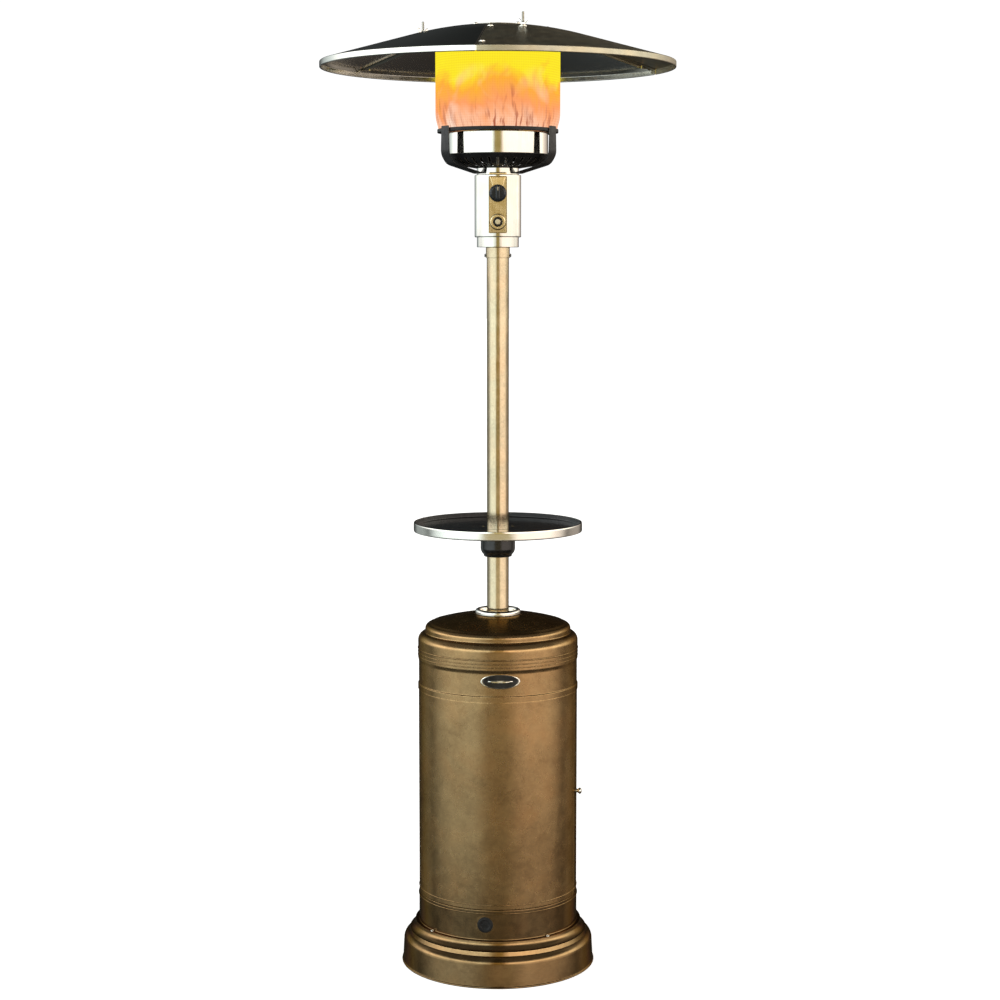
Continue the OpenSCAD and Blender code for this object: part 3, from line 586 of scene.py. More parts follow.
def glow_finish(colours, heat, low_z, top_z):
    """Glowing screen: colour by height, wavering with broad noise; dark flame streaks rise from the
    foot; rows of fine holes dot it."""
    f = Finish("emitter_glow", {"Metallic": 0.0, "Roughness": 0.7, "Specular IOR Level": 0.15})
    height = f.remap(f.axis("Z"), (low_z * MM, top_z * MM), (0, 1))
    drift = f.remap(f.noise(11, (1, 1, 0.7), detail=3, twist=1.2), (0.3, 0.7), (-0.17, 0.17))
    level = f.sum("ADD", height, drift, clamp=True)
    low_tone, foot, middle, top = colours
    stops = [(0.0, low_tone), (0.24, foot), (0.46, middle), (0.70, top), (1.0, times(top, 1.05))]
    glow = f.ramp(level, stops)
    pale = f.remap(f.noise(13, detail=2, twist=0.6), (0.52, 0.7), (0, 1))
    fade = f.remap(height, (0.05, 0.75), (0.85, 0.0))
    glow = f.blend(f.sum("MULTIPLY", pale, fade), glow, (1.0, 0.80, 0.66))
    turn = f.sum("MULTIPLY", f.azimuth(), 9.0)
    wander = f.sum("MULTIPLY", f.noise(20, detail=2), 1.1)
    flame = f.nodes.new("ShaderNodeTexNoise")
    lick = f.pair(f.sum("ADD", turn, wander), f.sum("MULTIPLY", height, 1.6))
    for socket, value in (("Vector", lick), ("Scale", 1.6), ("Detail", 4.0)):
        f.put(flame.inputs[socket], value)
    streak = f.remap(flame.outputs["Fac"], (0.50, 0.64), (0, 1), smooth=True)
    sway = f.remap(f.noise(8, detail=1), (0.35, 0.65), (-0.2, 0.2))
    reach = f.remap(f.sum("ADD", height, sway), (0.0, 0.42), (1.0, 0.0))
    glow = f.blend(f.sum("MULTIPLY", streak, reach), glow, (0.42, 0.10, 0.05))
    dots = f.pair(f.sum("MULTIPLY", f.azimuth(), 26.0), f.sum("MULTIPLY", f.axis("Z"), 180.0))
    cells = f.nodes.new("ShaderNodeTexVoronoi")
    for socket, value in (("Vector", dots), ("Scale", 1.0), ("Randomness", 0.0)):
        f.put(cells.inputs[socket], value)
    hole = f.remap(cells.outputs["Distance"], (0.24, 0.36), (1, 0), smooth=True)
    glow = f.blend(f.sum("MULTIPLY", hole, 0.22), glow, (0.55, 0.16, 0.03))
    f.drive("Base Color", f.blend(0.96, glow, (0.02, 0.01, 0.006)))
    f.drive("Emission Color", glow)
    f.shader.inputs["Emission Strength"].default_value = heat
    f.bump(f.remap(hole, (0, 1), (1, 0)), 0.4, 0.6)


def make_finishes(c):
    """Every finish of the heater, from the colours of the settings."""
    bronze, deep = c.bronze_light, c.bronze_dark
    metal_paint("bronze_paint", bronze, deep, times(bronze, 1.9), 0.24, 110, 0.06, 0.014)
    # The base and skirt get a darker copy of the bronze paint, at two thirds of its tones: painted shade
    # standing in for the dimmer light near the floor
    shaded_bronze_light, shaded_bronze_dark = times(bronze, 0.66), times(deep, 0.66)
    metal_paint("shaded_bronze_paint", shaded_bronze_light, shaded_bronze_dark, times(bronze, 1.5), 0.17, 110, 0.06, 0.010)
    metal_paint("pole_paint", c.pole, times(c.pole, 0.78), times(c.pole, 1.5), 0.15, 160, 0.35, 0.004)
    drawn_metal("stainless", c.steel, 0.07, 700, c.warm, warm=0.25)
    drawn_metal("table_band", times(c.steel, 1.08), 0.13, 900, c.warm, around=True, warm=0.06)
    drawn_metal("bright_plate", times(c.steel, 1.1), 0.12, 500, c.warm, spread=0.08)
    drawn_metal("reflector_sheet", times(c.steel, 0.95), 0.10, 300, c.warm, spread=0.05, around=True)
    # The right panel's finish: the same sheet, rougher and darker; the darker colour is painted shade
    drawn_metal("reflector_shaded", c.shaded_sheet, 0.34, 300, c.warm, spread=0.08, around=True, warm=0.3)
    drawn_metal("brass_turned", c.brass, 0.24, 800, (0.45, 0.28, 0.10), spread=0.12, around=True, warm=0.5)
    drawn_metal("pin_steel", times(c.steel, 0.7), 0.25, 600, c.warm, spread=0.12, warm=0.4)
    drawn_metal("trim_plate", times(c.steel, 1.05), 0.16, 500, c.warm, around=True, warm=0.2)
    drawn_metal("panel_gold", (0.80, 0.66, 0.40), 0.22, 600, c.warm, warm=0.4)
    dark_coat("collar_metal", (0.035, 0.034, 0.034), (0.20, 0.19, 0.18), 0.2, 700, 0.03, 0.7, 0.4)
    dark_coat("black_gloss", c.black, (0.16, 0.15, 0.14), 0.16, 900, 0.02, coat=0.3)
    dark_coat("black_satin", c.black, (0.12, 0.11, 0.10), 0.36, 700, 0.03)
    dark_coat("black_plastic", c.black, (0.09, 0.09, 0.095), 0.34, 1800, 0.03)
    dark_coat("knob_plastic", (0.016, 0.022, 0.030), (0.20, 0.12, 0.06), 0.22, 1500, 0.02, coat=0.4)
    dark_coat("dark_steel", (0.10, 0.10, 0.10), (0.34, 0.33, 0.31), 0.42, 500, 0.05, metallic=0.6)
    dark_coat("cast_iron", (0.055, 0.05, 0.047), (0.18, 0.15, 0.13), 0.62, 320, 0.18, metallic=0.3)
    dark_coat("tank_plastic", (0.03, 0.03, 0.03), (0.09, 0.09, 0.09), 0.55, 260, 0.12)
    dark_coat("hose_rubber", (0.018, 0.018, 0.018), (0.06, 0.06, 0.06), 0.5, 1200, 0.06)
    dark_coat("bottle_paint", (0.62, 0.64, 0.63), (0.42, 0.43, 0.43), 0.3, 380, 0.06, coat=0.3, edge=0.4)
    dark_coat("button_plastic", c.button, times(c.button, 0.8), 0.22, 1200, 0.01, coat=0.4)
    tones = [c.glow_low, c.glow_foot, c.glow_middle, c.glow_top]
    glow_finish(tones, c.heat, *span("emitter_screen"))


# ---------------------------------------------------------------- settings


def number(label, text, value, **more):
    """Number setting."""
    return bpy.props.FloatProperty(name=label, description=text, default=value, **more)


def length(label, text, millimetres):
    """Length setting, given in millimetres and kept in metres."""
    return number(label, text, float(millimetres) * MM, unit="LENGTH")


def colour(label, text, value):
    """Colour setting."""
    return bpy.props.FloatVectorProperty(
        name=label, description=text, default=value, size=3, min=0, max=1, subtype="COLOR"
    )


class BodySizes(bpy.types.PropertyGroup):
    """Sizes of the base, the housing and the hood."""

    foot_radius: length("Foot radius", "Outer radius of the foot of the base", high("base_shell")[0])
    ledge_height: length("Ledge height", "Height of the ledge on top of the base", high("base_shell")[2])
    skirt_radius: length("Skirt radius", "Outer radius of the skirt wall", 190.0)
    flange_radius: length("Flange radius", "Outer radius of the skirt's foot flange", high("base_skirt")[0])
    skirt_top: length("Skirt top", "Height of the top of the skirt", high("base_skirt")[2])
    housing_radius: length("Housing radius", "Outer radius of the bottle housing", -low("front_shell")[1])
    bead_height: length("Bead height", "Height of the bead round the foot of the housing", 187.0)
    dome_radius: length("Dome radius", "Radius of the shallow dome of the hood", 565.0)


class TopSizes(bpy.types.PropertyGroup):
    """Sizes of the pole, the table, the burner and the reflector."""

    pole_radius: length("Pole radius", "Outer radius of the pole", high("pole_lower")[0])
    table_radius: length("Table radius", "Outer radius of the table band", high("table_rim")[0])
    cover_radius: length("Cover radius", "Outer radius of the control cover", high("control_cover")[0])
    drum_radius: length("Drum radius", "Outer radius of the burner drum", high("burner_drum")[0])
    screen_radius: length("Screen radius", "Outer radius of the emitter screen", high("emitter_screen")[0])
    reflector_radius: length("Reflector radius", "Outer radius of the reflector", -low("panel_left")[0])
    lip_height: length("Lip height", "Height of the reflector's rim lip", 14.0)
    lap: length("Seam lap", "Half width of the overlap at a reflector seam", 9.0)
    reflector_slope: number("Reflector slope", "Rise over run of the reflector's outer part", 0.278)
    reflector_crown: number("Reflector crown", "Drop of the crown per square millimetre of radius", 0.00066)


class HeaterColours(bpy.types.PropertyGroup):
    """Colours of the finishes."""

    bronze_light: colour("Bronze, light", "Light clouds of the bronze paint", (0.40, 0.265, 0.125))
    bronze_dark: colour("Bronze, dark", "Dark clouds of the bronze paint", (0.25, 0.155, 0.070))
    pole: colour("Pole", "Champagne paint of the pole", (0.70, 0.575, 0.385))
    steel: colour("Steel", "Polished stainless steel", (0.83, 0.81, 0.75))
    # Colour of the right reflector panel: a darker copy of the sheet, painted shade for that panel
    shaded_sheet: colour("Dull sheet", "Shaded reflector sheet", (0.46, 0.43, 0.33))
    warm: colour("Warm stain", "Faint heat stain on bright metal", (0.78, 0.62, 0.38))
    brass: colour("Brass", "Gas valve and bottle valve", (0.72, 0.50, 0.20))
    black: colour("Black", "Black paint and plastic", (0.012, 0.012, 0.013))
    button: colour("Button", "Igniter button", (0.78, 0.66, 0.42))
    glow_low: colour("Glow, low", "Foot of the glowing screen", (1.0, 0.56, 0.36))
    glow_foot: colour("Glow, foot", "Lower part of the glowing screen", (1.0, 0.36, 0.13))
    glow_middle: colour("Glow, middle", "Middle of the glowing screen", (1.0, 0.44, 0.04))
    glow_top: colour("Glow, top", "Top of the glowing screen", (1.0, 0.82, 0.02))
    heat: number("Heat", "Strength of the screen's glow", 1.0, min=0)


class StageSettings(bpy.types.PropertyGroup):
    """Camera and surrounding light."""

    distance: length("Camera distance", "Camera in front of the pole axis", 5000.0)
    aside: length("Camera aside", "Camera beside the middle plane", 5.0)
    eye_height: length("Camera height", "Height of the camera", 1675.0)
    tilt: number("Tilt", "How far the camera looks down", math.radians(6.36), subtype="ANGLE")
    lens: number("Lens", "Focal length in millimetres", 76.36)
    left_light: colour("Left panel", "Light of the panel left of the camera", (0.90, 1.0, 1.0))
    right_light: colour("Right panel", "Light of the panel right of the camera", (1.0, 0.88, 0.78))
    gap_light: colour("Gap", "Warm light between the panels", (0.25, 0.19, 0.065))
    panel_strength: number("Panel light", "Brightness of the panels", 1.45)


# ---------------------------------------------------------------- base and housing


class HEATER_OT_base(bpy.types.Operator):
    """Spun base, rolled skirt and the four screws between them"""

    bl_idname = "heater.base"
    bl_label = "Base and skirt"

    def execute(self, context):
        """Base profile: foot ring, rolled bead, leaning wall, convex bulge, concave cove, flat ledge."""
        s = context.scene.heater_body
        foot, ledge = s.foot_radius / MM, s.ledge_height / MM
        skirt, flange, top = s.skirt_radius / MM, s.flange_radius / MM, s.skirt_top / MM
        shell = joined(
            [[FOOT_BORE, 0.0]],
            arc(foot - 2.6, 2.6, 2.6, -90, 55, 8),
            arc(foot - 1.0, 6.4, 1.4, 215, 178, 4),
            arc(foot - 26, 54, 21, 0, 65),
            arc(217.5, ledge, 20.5, 255, 180),
            [[174.0, ledge]],
        )
        # The base shell takes the darker copy of the bronze paint, which is painted shade
        make("base_shell_spun", [spun(shell)], "shaded_bronze_paint", ["base_shell"], wall=2.0)
        step = ledge + 1.5
        brim = [[flange - 0.4, step - 0.6], [flange - 0.4, step], [skirt, step], [skirt, step + 20]]
        upper = corners([[skirt, top - 3], [skirt, top], [176.0, top]], 1.6)
        wall = joined(corners(brim, [0, 0.8, 2.2, 0]), bead(skirt, 167, 2.0, 0.4), upper)
        mouth = prism(corners(arc(0, 0, 18.8, 0, 352.5, 47), 0.0, closed=True), 170, 205)
        hole = aimed(mouth, [0, 0, PLUG_HEIGHT], radial(PLUG_AZIMUTH))
        # The skirt also takes the darker copy of the bronze paint, which is painted shade
        make("skirt_rolled", [spun(wall)], "shaded_bronze_paint", ["base_skirt"], wall=1.5, cut=[hole])
        screws = about(moved(pan_head(3.8, 3.0, 2.0, 8.0), [194.4, 0, step]), LEDGE_SCREWS)
        make("base_screws_set", screws, "bright_plate", ["base_screws"])
        return {"FINISHED"}


class HEATER_OT_plug(bpy.types.Operator):
    """Push-in plug of the ballast tank"""

    bl_idname = "heater.plug"
    bl_label = "Tank plug"

    def execute(self, context):
        """Stepped cap with a dished middle, turned about the outward direction of the filler neck."""
        cap = corners(
            [[0, 170], [12.94, 170], [12.94, 183.6], [18.4, 183.6], [18.4, 190.6], [15.4, 190.6],
             [15.4, 192], [11.5, 192], [10.2, 190.4], [0, 190.4]],
            [0, 1, 0.2, 0.6, 1.6, 0.3, 0.8, 0.8, 0.8, 0],
        )
        grip = moved(cushion((8.6, 1.6, 1.0), 0.35), [0, 0, 190.9])
        place = [0, 0, PLUG_HEIGHT]
        parts = [aimed(part, place, radial(PLUG_AZIMUTH)) for part in (spun(cap, step=5.625), grip)]
        make("tank_plug_cap", parts, "black_plastic", ["tank_plug"], body="plug")
        return {"FINISHED"}


class HEATER_OT_housing(bpy.types.Operator):
    """Fixed front shell and rear door of the bottle housing"""

    bl_idname = "heater.housing"
    bl_label = "Housing shells"

    def execute(self, context):
        """Sheet profile: lip, rounded corner, bead above the foot, plain wall, rounded corner, lip."""
        s = context.scene.heater_body
        r, bead_z = s.housing_radius / MM, s.bead_height / MM
        for name, node, body, start, turn, depth in (
            ("front_shell_rolled", "front_shell", "heater", 163.5, 180.0, 10.0),
            ("rear_door_rolled", "rear_door", "door", -16.0, 177.5, 9.5),
        ):
            z0, z1 = span(node)
            foot = corners([[r - depth, z0], [r, z0], [r, z0 + 5]], 1.8)
            head = corners([[r, z1 - 5], [r, z1], [r - depth, z1]], 1.8)
            wall = joined(foot, bead(r, bead_z, 1.5, 0.5), head)
            sheet = spun(wall, start=start, turn=turn, step=2.5)
            make(name, [sheet], "bronze_paint", [node], wall=1.5, body=body)
        knob = corners(
            [[0, 183], [6, 183], [6, 186.6], [3.05, 186.6], [3.05, 189], [5, 189], [4.2, 194],
             [7.5, 197], [7.5, 200.5], [5.5, 203], [0, 203]],
            [0, 0.6, 0.6, 0.1, 0.1, 0.6, 2.0, 1.6, 1.6, 2.0, 0],
        )
        part = aimed(spun(knob, step=7.5), [0, 0, middle_z("door_pull")], radial(PULL_AZIMUTH))
        make("door_pull_turned", [part], "bright_plate", ["door_pull"], body="door")
        return {"FINISHED"}


class HEATER_OT_hood(bpy.types.Operator):
    """Hood with its beads and dome, and the rolled trim ring round the pole"""

    bl_idname = "heater.hood"
    bl_label = "Hood and trim ring"

    def execute(self, context):
        """Band, swaged step, three beads, big shoulder, groove, small shoulder, arc of a large sphere."""
        s = context.scene.heater_body
        r, dome = s.housing_radius / MM, s.dome_radius / MM
        z0, shoulder = low("hood")[2], r + 1.1
        centre = high("hood")[2] - math.sqrt(dome**2 - DOME_HOLE**2)
        crown = math.degrees(math.acos(158 / dome)), math.degrees(math.acos(DOME_HOLE / dome))
        band = corners(
            [[r + 1.5, z0], [r + 1.5, 681], [r - 0.5, 682.6], [r - 0.5, 736],
             [shoulder, 742], [shoulder, 745]],
            [0, 1.0, 1.0, 3.0, 3.0, 0],
        )
        groove = corners([[174.55, 802.6], [173.3, 804.5], [173.3, 811.5]], 1.2)
        profile = joined(
            band,
            bead(shoulder, 749, 1.4, 0.5),
            bead(shoulder, 757, 1.4, 0.5),
            bead(shoulder, 766, 1.9, 0.6),
            arc(shoulder - 19, 784, 19, 0, 78, 18),
            groove[1:-1],
            arc(162, 811.5, 11.3, 0, 80, 14),
            arc(0, centre, dome, *crown, 28),
        )
        make("hood_spun", [spun(profile)], "bronze_paint", ["hood"], wall=1.3)
        base = low("trim_ring")[2]
        bore = context.scene.heater_top.pole_radius / MM + 0.3
        ring = joined(
            [[bore, base], [54.0, base]],
            arc(48, base + 4.5, 6, 0, 180, 16),
            [[42, base + 2.5], [bore, base + 2.5]],
        )
        make("trim_ring_turned", [spun(ring, closed=True)], "trim_plate", ["trim_ring"])
        return {"FINISHED"}


class HEATER_OT_badge(bpy.types.Operator):
    """Blank oval badge wrapped on the hood, with a bright rim and a plain lozenge"""

    bl_idname = "heater.badge"
    bl_label = "Badge"

    def execute(self, context):
        """Oval grid wrapped on the cylinder: arc length a u cos v and height b u sin v, raised by the
        height of the profile at u."""
        wall = context.scene.heater_body.housing_radius / MM - 0.45
        plate = [(0, 1.5), (0.8, 1.5), (0.97, 1.5), (0.98, 0.0), (0, 0.0)]
        rim = [(0.9, 1.3), (0.91, 2.1), (0.95, 2.45), (0.99, 2.1), (1.0, 0.9), (1.0, 0.0), (0.9, 0.0)]
        lozenge = [(0, 2.0), (0.8, 1.9), (1.0, 1.3), (0, 1.3)]
        plates = (
            ("badge_plate", "black_gloss", ["badge"], plate, 46, 17),
            ("badge_rim", "bright_plate", [], rim, 46, 17),
            ("badge_lozenge", "bright_plate", [], lozenge, 29, 3.0),
        )
        for name, finish, nodes, profile, wide, tall in plates:
            u, rise = np.array(profile).T
            v = np.linspace(0, 2 * math.pi, 96, endpoint=False)
            along, up = wide * np.outer(u, np.cos(v)), tall * np.outer(u, np.sin(v))
            a = math.radians(BADGE_AZIMUTH) + along / wall
            r = wall + rise[:, None]
            points = np.stack([r * np.cos(a), r * np.sin(a), middle_z("badge") + up], 2)
            quads = grid(len(u), len(v), profile is rim, True)
            make(name, [(points.reshape(-1, 3), quads)], finish, nodes)
        return {"FINISHED"}


# ---------------------------------------------------------------- pole and table


class HEATER_OT_pole(bpy.types.Operator):
    """Two tubes of the pole"""

    bl_idname = "heater.pole"
    bl_label = "Pole"

    def execute(self, context):
        """Rectangle profile of the tube wall with softened ends."""
        r = context.scene.heater_top.pole_radius / MM
        for name in ("pole_lower", "pole_upper"):
            z0, z1 = span(name)
            wall = corners([[r, z0], [r, z1], [r - 1.5, z1], [r - 1.5, z0]], 0.5, closed=True)
            make(name + "_tube", [spun(wall, closed=True, step=3.75)], "pole_paint", [name])
        return {"FINISHED"}


class HEATER_OT_table(bpy.types.Operator):
    """Table disc, bright band, hub, screws and clamp collar"""

    bl_idname = "heater.table"
    bl_label = "Table"

    def execute(self, context):
        """Turned profiles of the disc with its pressed groove, the band, the stepped hub and the bell."""
        s = context.scene.heater_top
        r, bore = s.table_radius / MM, s.pole_radius / MM + 0.4
        z, top = span("table_top")
        brim = high("table_rim")[2] - 0.4
        disc = corners(
            [[bore, z], [r - 3.05, z], [r - 3.05, brim], [r - 4.5, brim], [r - 4.5, top],
             [62, top], [60.5, top - 0.5], [57.5, top - 0.5], [56, top], [bore, top]],
            [0.3, 0.8, 0.6, 0.6, 2.5, 1, 1, 1, 1, 0.6],
            closed=True,
        )
        z0, z1 = span("table_rim")
        band = corners(
            [[r - 3, z0], [r - 0.4, z0], [r, z0 + 2.5], [r, z1 - 3.5], [r - 0.5, z1], [r - 3, z1],
             [r - 3, z], [r - 10, z], [r - 10, z - 2.5], [r - 3, z - 2.5]],
            [0.8, 1.6, 2, 2, 1.2, 1.2, 0.4, 0.6, 0.6, 0.4],
            closed=True,
        )
        hub = corners(
            [[bore, z - 60], [30, z - 60], [30, z - 17], [44, z - 17], [48.7, z - 13], [48.7, z - 3],
             [45, z - 0.05], [bore, z - 0.05]],
            [0.4, 0.8, 1.5, 2, 1.5, 1.5, 0.8, 0.4],
            closed=True,
        )
        screws = about(moved(pan_head(5.0, 1.2, 2.5, 12.0), [35, 0, top - 0.5]), EITHER_SIDE)
        for name, parts, finish, slot, node in (
            ("table_disc", [spun(disc, closed=True)], "black_gloss", "black_metal", "table_top"),
            ("table_band_rolled", [spun(band, closed=True)], "table_band", "bright_metal", "table_rim"),
            ("table_hub_moulded", [spun(hub, closed=True)], "black_plastic", "black_plastic", "table_hub"),
            ("table_screws_set", screws, "bright_plate", "bright_metal", "table_screws"),
        ):
            make(name, parts, finish, [node], body="table")
        c = low("clamp_collar")[2]
        tail = [[41, c + 38], [41, c + 49.5], [30.4, c + 49.5], [30.4, c + 7], [27, c + 7]]
        bell = joined(
            corners([[27, c], [32.9, c], [33.6, c + 3.6]], 0.8),
            arc(21, c + 20, 20, -50, 0, 16),
            corners(tail, [0, 1.6, 1, 0.5, 0]),
        )
        part = spun(bell, closed=True)
        make("clamp_bell", [part], "collar_metal", ["clamp_collar"], body="collar")
        return {"FINISHED"}


# ---------------------------------------------------------------- control head


class HEATER_OT_control_head(bpy.types.Operator):
    """Neck collar, inner tube, outer cover and panel of the control head"""

    bl_idname = "heater.control_head"
    bl_label = "Control head"

    def execute(self, context):
        """Turned collar; two rolled tubes cut by rounded prisms that point to the front; flat panel."""
        s = context.scene.heater_top
        base, r = low("neck_collar")[2], s.cover_radius / MM
        pole = s.pole_radius / MM
        neck = corners(
            [[pole + 0.05, base], [28, base], [28, base + 25], [47.45, base + 25], [47.45, base + 28],
             [20, base + 28], [20, base + 12], [pole + 0.05, base + 12]],
            [0.3, 0.8, 1.0, 0.6, 0.6, 0.6, 0.4, 0.2],
            closed=True,
        )
        make("neck_collar_turned", [spun(neck, closed=True)], "pole_paint", ["neck_collar"])
        set_screw = aimed(pan_head(4.2, 3.3, 2.0, 2.5), [28.5, 0, base + 6], radial(0))
        screws = about(set_screw, EITHER_SIDE)
        make("neck_screws_set", screws, "dark_steel", ["neck_screws"])
        z0, z1 = span("control_tube")
        tube = corners([[47.6, z0], [49, z0], [49, z1], [47.6, z1]], 0.6)
        slot = facing(prism(plate_outline(20.5, 72.5, 4), 30, 60), base + 124.5)
        make("control_tube_rolled", [spun(tube)], "stainless", ["control_tube"],
             wall=1.4, cut=[slot])
        z0, z1 = span("control_cover")
        cover = corners([[49.1, z0], [r, z0], [r, z1], [49.1, z1]], [0, 2.2, 2.2, 0])
        window = facing(prism(plate_outline(21, 65.5, 3), 30, 70), base + 122.5)
        make("control_cover_rolled", [spun(cover)], "stainless", ["control_cover"],
             wall=1.2, cut=[window])
        front, back = low("control_panel")[1], high("control_panel")[1]
        plate = prism(plate_outline(20.3, 71.5, 2), -back, -front, 0.3)
        plate = facing(plate, middle_z("control_panel"))
        holes = [
            facing(round_bar(wide, -back - 5, -front + 5), middle_z(through))
            for wide, through in ((6.0, "valve_stem"), (8.1, "igniter_button"))
        ]
        make("control_panel_plate", [plate], "panel_gold", ["control_panel"], cut=holes)
        return {"FINISHED"}


class HEATER_OT_knob(bpy.types.Operator):
    """Gas knob with its skirt, scalloped edge, grip bar and pointer line"""

    bl_idname = "heater.knob"
    bl_label = "Knob"

    def execute(self, context):
        """Turned knob whose radius at angle a is r (1 - d (1 + cos 14a) / 2) on the scalloped rows."""
        middle = middle_z("valve_stem")
        profile = corners(
            [[4.1, 47.3], [19.8, 47.3], [20, 51], [17.6, 51.6], [16.6, 58], [4.1, 58]],
            [0.2, 0.6, 1.2, 0.8, 1.6, 0.2],
            closed=True,
        )
        points, quads = spun(profile, closed=True, step=3.75)
        r = np.hypot(points[:, 0], points[:, 1])
        a = np.arctan2(points[:, 1], points[:, 0])
        scallop = np.clip((points[:, 2] - 51.4) / 1.5, 0, 1) * np.clip((r - 8) / 6, 0, 1)
        points[:, :2] *= (1 - 0.035 * scallop * (1 + np.cos(14 * a)) / 2)[:, None]
        grip = moved(cushion((5, 17, 4.9), 0.42), [0, 0, 61.0])
        line = moved(cushion((0.8, 5.2, 0.35), 0.5, 9, 24), [0, 9.0, 65.6])
        skirt, bar, drill, pointer = [
            facing(part, middle) for part in ((points, quads), grip, round_bar(4.1, 50, 60), line)
        ]
        for name, part, finish, slot, nodes, cut in (
            ("knob_moulded", skirt, "knob_plastic", "black_plastic", ["control_knob"], []),
            ("knob_grip", bar, "knob_plastic", "black_plastic", [], [drill]),
            ("knob_pointer", pointer, "button_plastic", "igniter_button", [], []),
        ):
            make(name, [part], finish, nodes, cut=cut, body="knob")
        return {"FINISHED"}


class HEATER_OT_igniter(bpy.types.Operator):
    """Igniter with its light bezel, black ring and push button"""

    bl_idname = "heater.igniter"
    bl_label = "Igniter"

    def execute(self, context):
        """Three turned rings about the line that points to the front."""
        bezel = [[10.1, 43.8], [19, 43.8], [19, 45.2], [16.5, 46.5], [11.4, 46.5], [10.1, 45.6]]
        bezel = corners(bezel, [0.2, 0.2, 0.8, 1.2, 0.6, 0.4], closed=True)
        ring = [[6.36, 10], [8, 10], [8, 43.8], [10, 43.9], [10, 51], [6.36, 51]]
        ring = corners(ring, [0.2, 0.4, 0.2, 0.1, 1.4, 0.6], closed=True)
        button = corners([[0, 43], [6.3, 43], [6.3, 55], [5.1, 56.3], [0, 56.5]], [0, 0.5, 1.4, 1.8, 0])
        for name, line, finish, slot, nodes, body in (
            ("igniter_bezel", bezel, "panel_gold", "pole", [], "heater"),
            ("igniter_ring", ring, "black_plastic", "black_plastic", ["igniter_body"], "heater"),
            ("igniter_push", button, "button_plastic", "igniter_button", ["igniter_button"], "button"),
        ):
            part = facing(spun(line, closed=line is not button, step=5.625), middle_z("igniter_button"))
            make(name, [part], finish, nodes, body=body)
        return {"FINISHED"}


# ---------------------------------------------------------------- burner


class HEATER_OT_burner(bpy.types.Operator):
    """Slotted bowl, bright drum, channel ring and glowing screen"""

    bl_idname = "heater.burner"
    bl_label = "Burner and screen"

    def execute(self, context):
        """Sheet profiles; the bowl is cut by 36 round-ended radial slots."""
        s = context.scene.heater_top
        z, drum = low("burner_bowl")[2], s.drum_radius / MM
        bowl = corners(
            [[49.1, z], [97, z + 8], [112, z + 17], [124, z + 30], [124, z + 32], [drum - 3, z + 32]],
            [0, 8, 8, 3, 0.8, 0],
        )
        slot = moved(prism(plate_outline(26, 2.75, 2.6), z - 5, z + 28), [90, 0, 0])
        make("burner_bowl_slotted", [spun(bowl, step=2.5)], "black_satin",
             ["burner_bowl"], wall=1.2, cut=about(slot, 10.0 * np.arange(36)))
        z0, z1 = span("burner_drum")
        can = corners([[drum, z0], [drum, z1], [48.2, z1]], 1.2)
        holes = []
        for wide, ring, turns in ((7, AIR_RING, 15 + 30.0 * np.arange(12)), (2.4, PILOT_RING, [300])):
            punch = prism(arc(0, 0, wide, 0, 345, 23), z1 - 5, z1 + 5)
            holes += about(moved(punch, [ring, 0, 0]), turns)
        make("burner_drum_spun", [spun(can)], "stainless", ["burner_drum"],
             wall=1.2, cut=holes)
        ring, top = high("burner_ring")[0], high("burner_ring")[2]
        channel = corners(
            [[ring - 0.3, z1], [ring, z1 + 1], [ring, top], [drum + 0.05, top], [drum + 0.05, z1 + 0.2]],
            [0, 0.5, 1.6, 1.2, 0],
        )
        make("burner_channel", [spun(channel)], "black_satin", ["burner_ring"], wall=1.4)
        wall = s.screen_radius / MM
        foot, crown = span("emitter_screen")
        line = [[wall - 7, foot], [wall, foot + 27], [wall, crown - 2], [wall - 1.2, crown]]
        screen = spun(corners(line, [0, 10, 1, 0]))
        make("emitter_screen_rolled", [screen], "emitter_glow", ["emitter_screen"], wall=1.0)
        return {"FINISHED"}


class HEATER_OT_brackets(bpy.types.Operator):
    """Three bent straps under the burner"""

    bl_idname = "heater.brackets"
    bl_label = "Brackets"

    def execute(self, context):
        """Flat section with rounded edges carried along a line in the r-z plane with round bends; at
        each point the section stands on the line's own normal."""
        z = low("burner_bowl")[2]
        r = high("burner_ring")[0] + 1.25
        bends = [[r, z + 94], [r, z + 29.5], [128.3, z + 8.2], [54.7, z - 11.25], [49.6, z - 11.25]]
        line = guarded(corners(bends, [0, 10, 10, 6, 0], steps=8), False)
        ahead = np.gradient(line, axis=0)
        ahead /= np.linalg.norm(ahead, axis=1)[:, None]
        normal = np.stack([-ahead[:, 1], ahead[:, 0]], 1)
        section = plate_outline(18.4, 1.2, 1.0)
        distance = np.r_[0, np.cumsum(np.linalg.norm(np.diff(line, axis=0), axis=1))]
        ends = np.minimum(distance, distance[-1] - distance)
        width = np.sqrt(np.clip(1 - (1 - np.clip(ends / 6, 0, 1)) ** 2, 0.0, 1)) * 0.25 + 0.75
        side = section[None, :, 0] * width[:, None]
        place = line[:, None] + section[None, :, 1, None] * normal[:, None]
        straps = about(loft(np.stack([place[..., 0], side, place[..., 1]], 2)), STRAPS)
        make("head_brackets_bent", straps, "black_satin", ["head_brackets"])
        return {"FINISHED"}


# ---------------------------------------------------------------- reflector


def dish_height(r, s, apex):
    """Height of the reflector's top face: a crown that falls with the square of the radius, then a
    straight slope that meets it smoothly."""
    knee = s.reflector_slope / (2 * s.reflector_crown)
    crown = apex - s.reflector_crown * np.minimum(r, knee) ** 2
    return crown - s.reflector_slope * np.maximum(r - knee, 0)


def reflector_apex():
    """Height of the middle of the reflector's top face, under the centre disc."""
    return high("reflector_cap")[2] - CAP_RISE


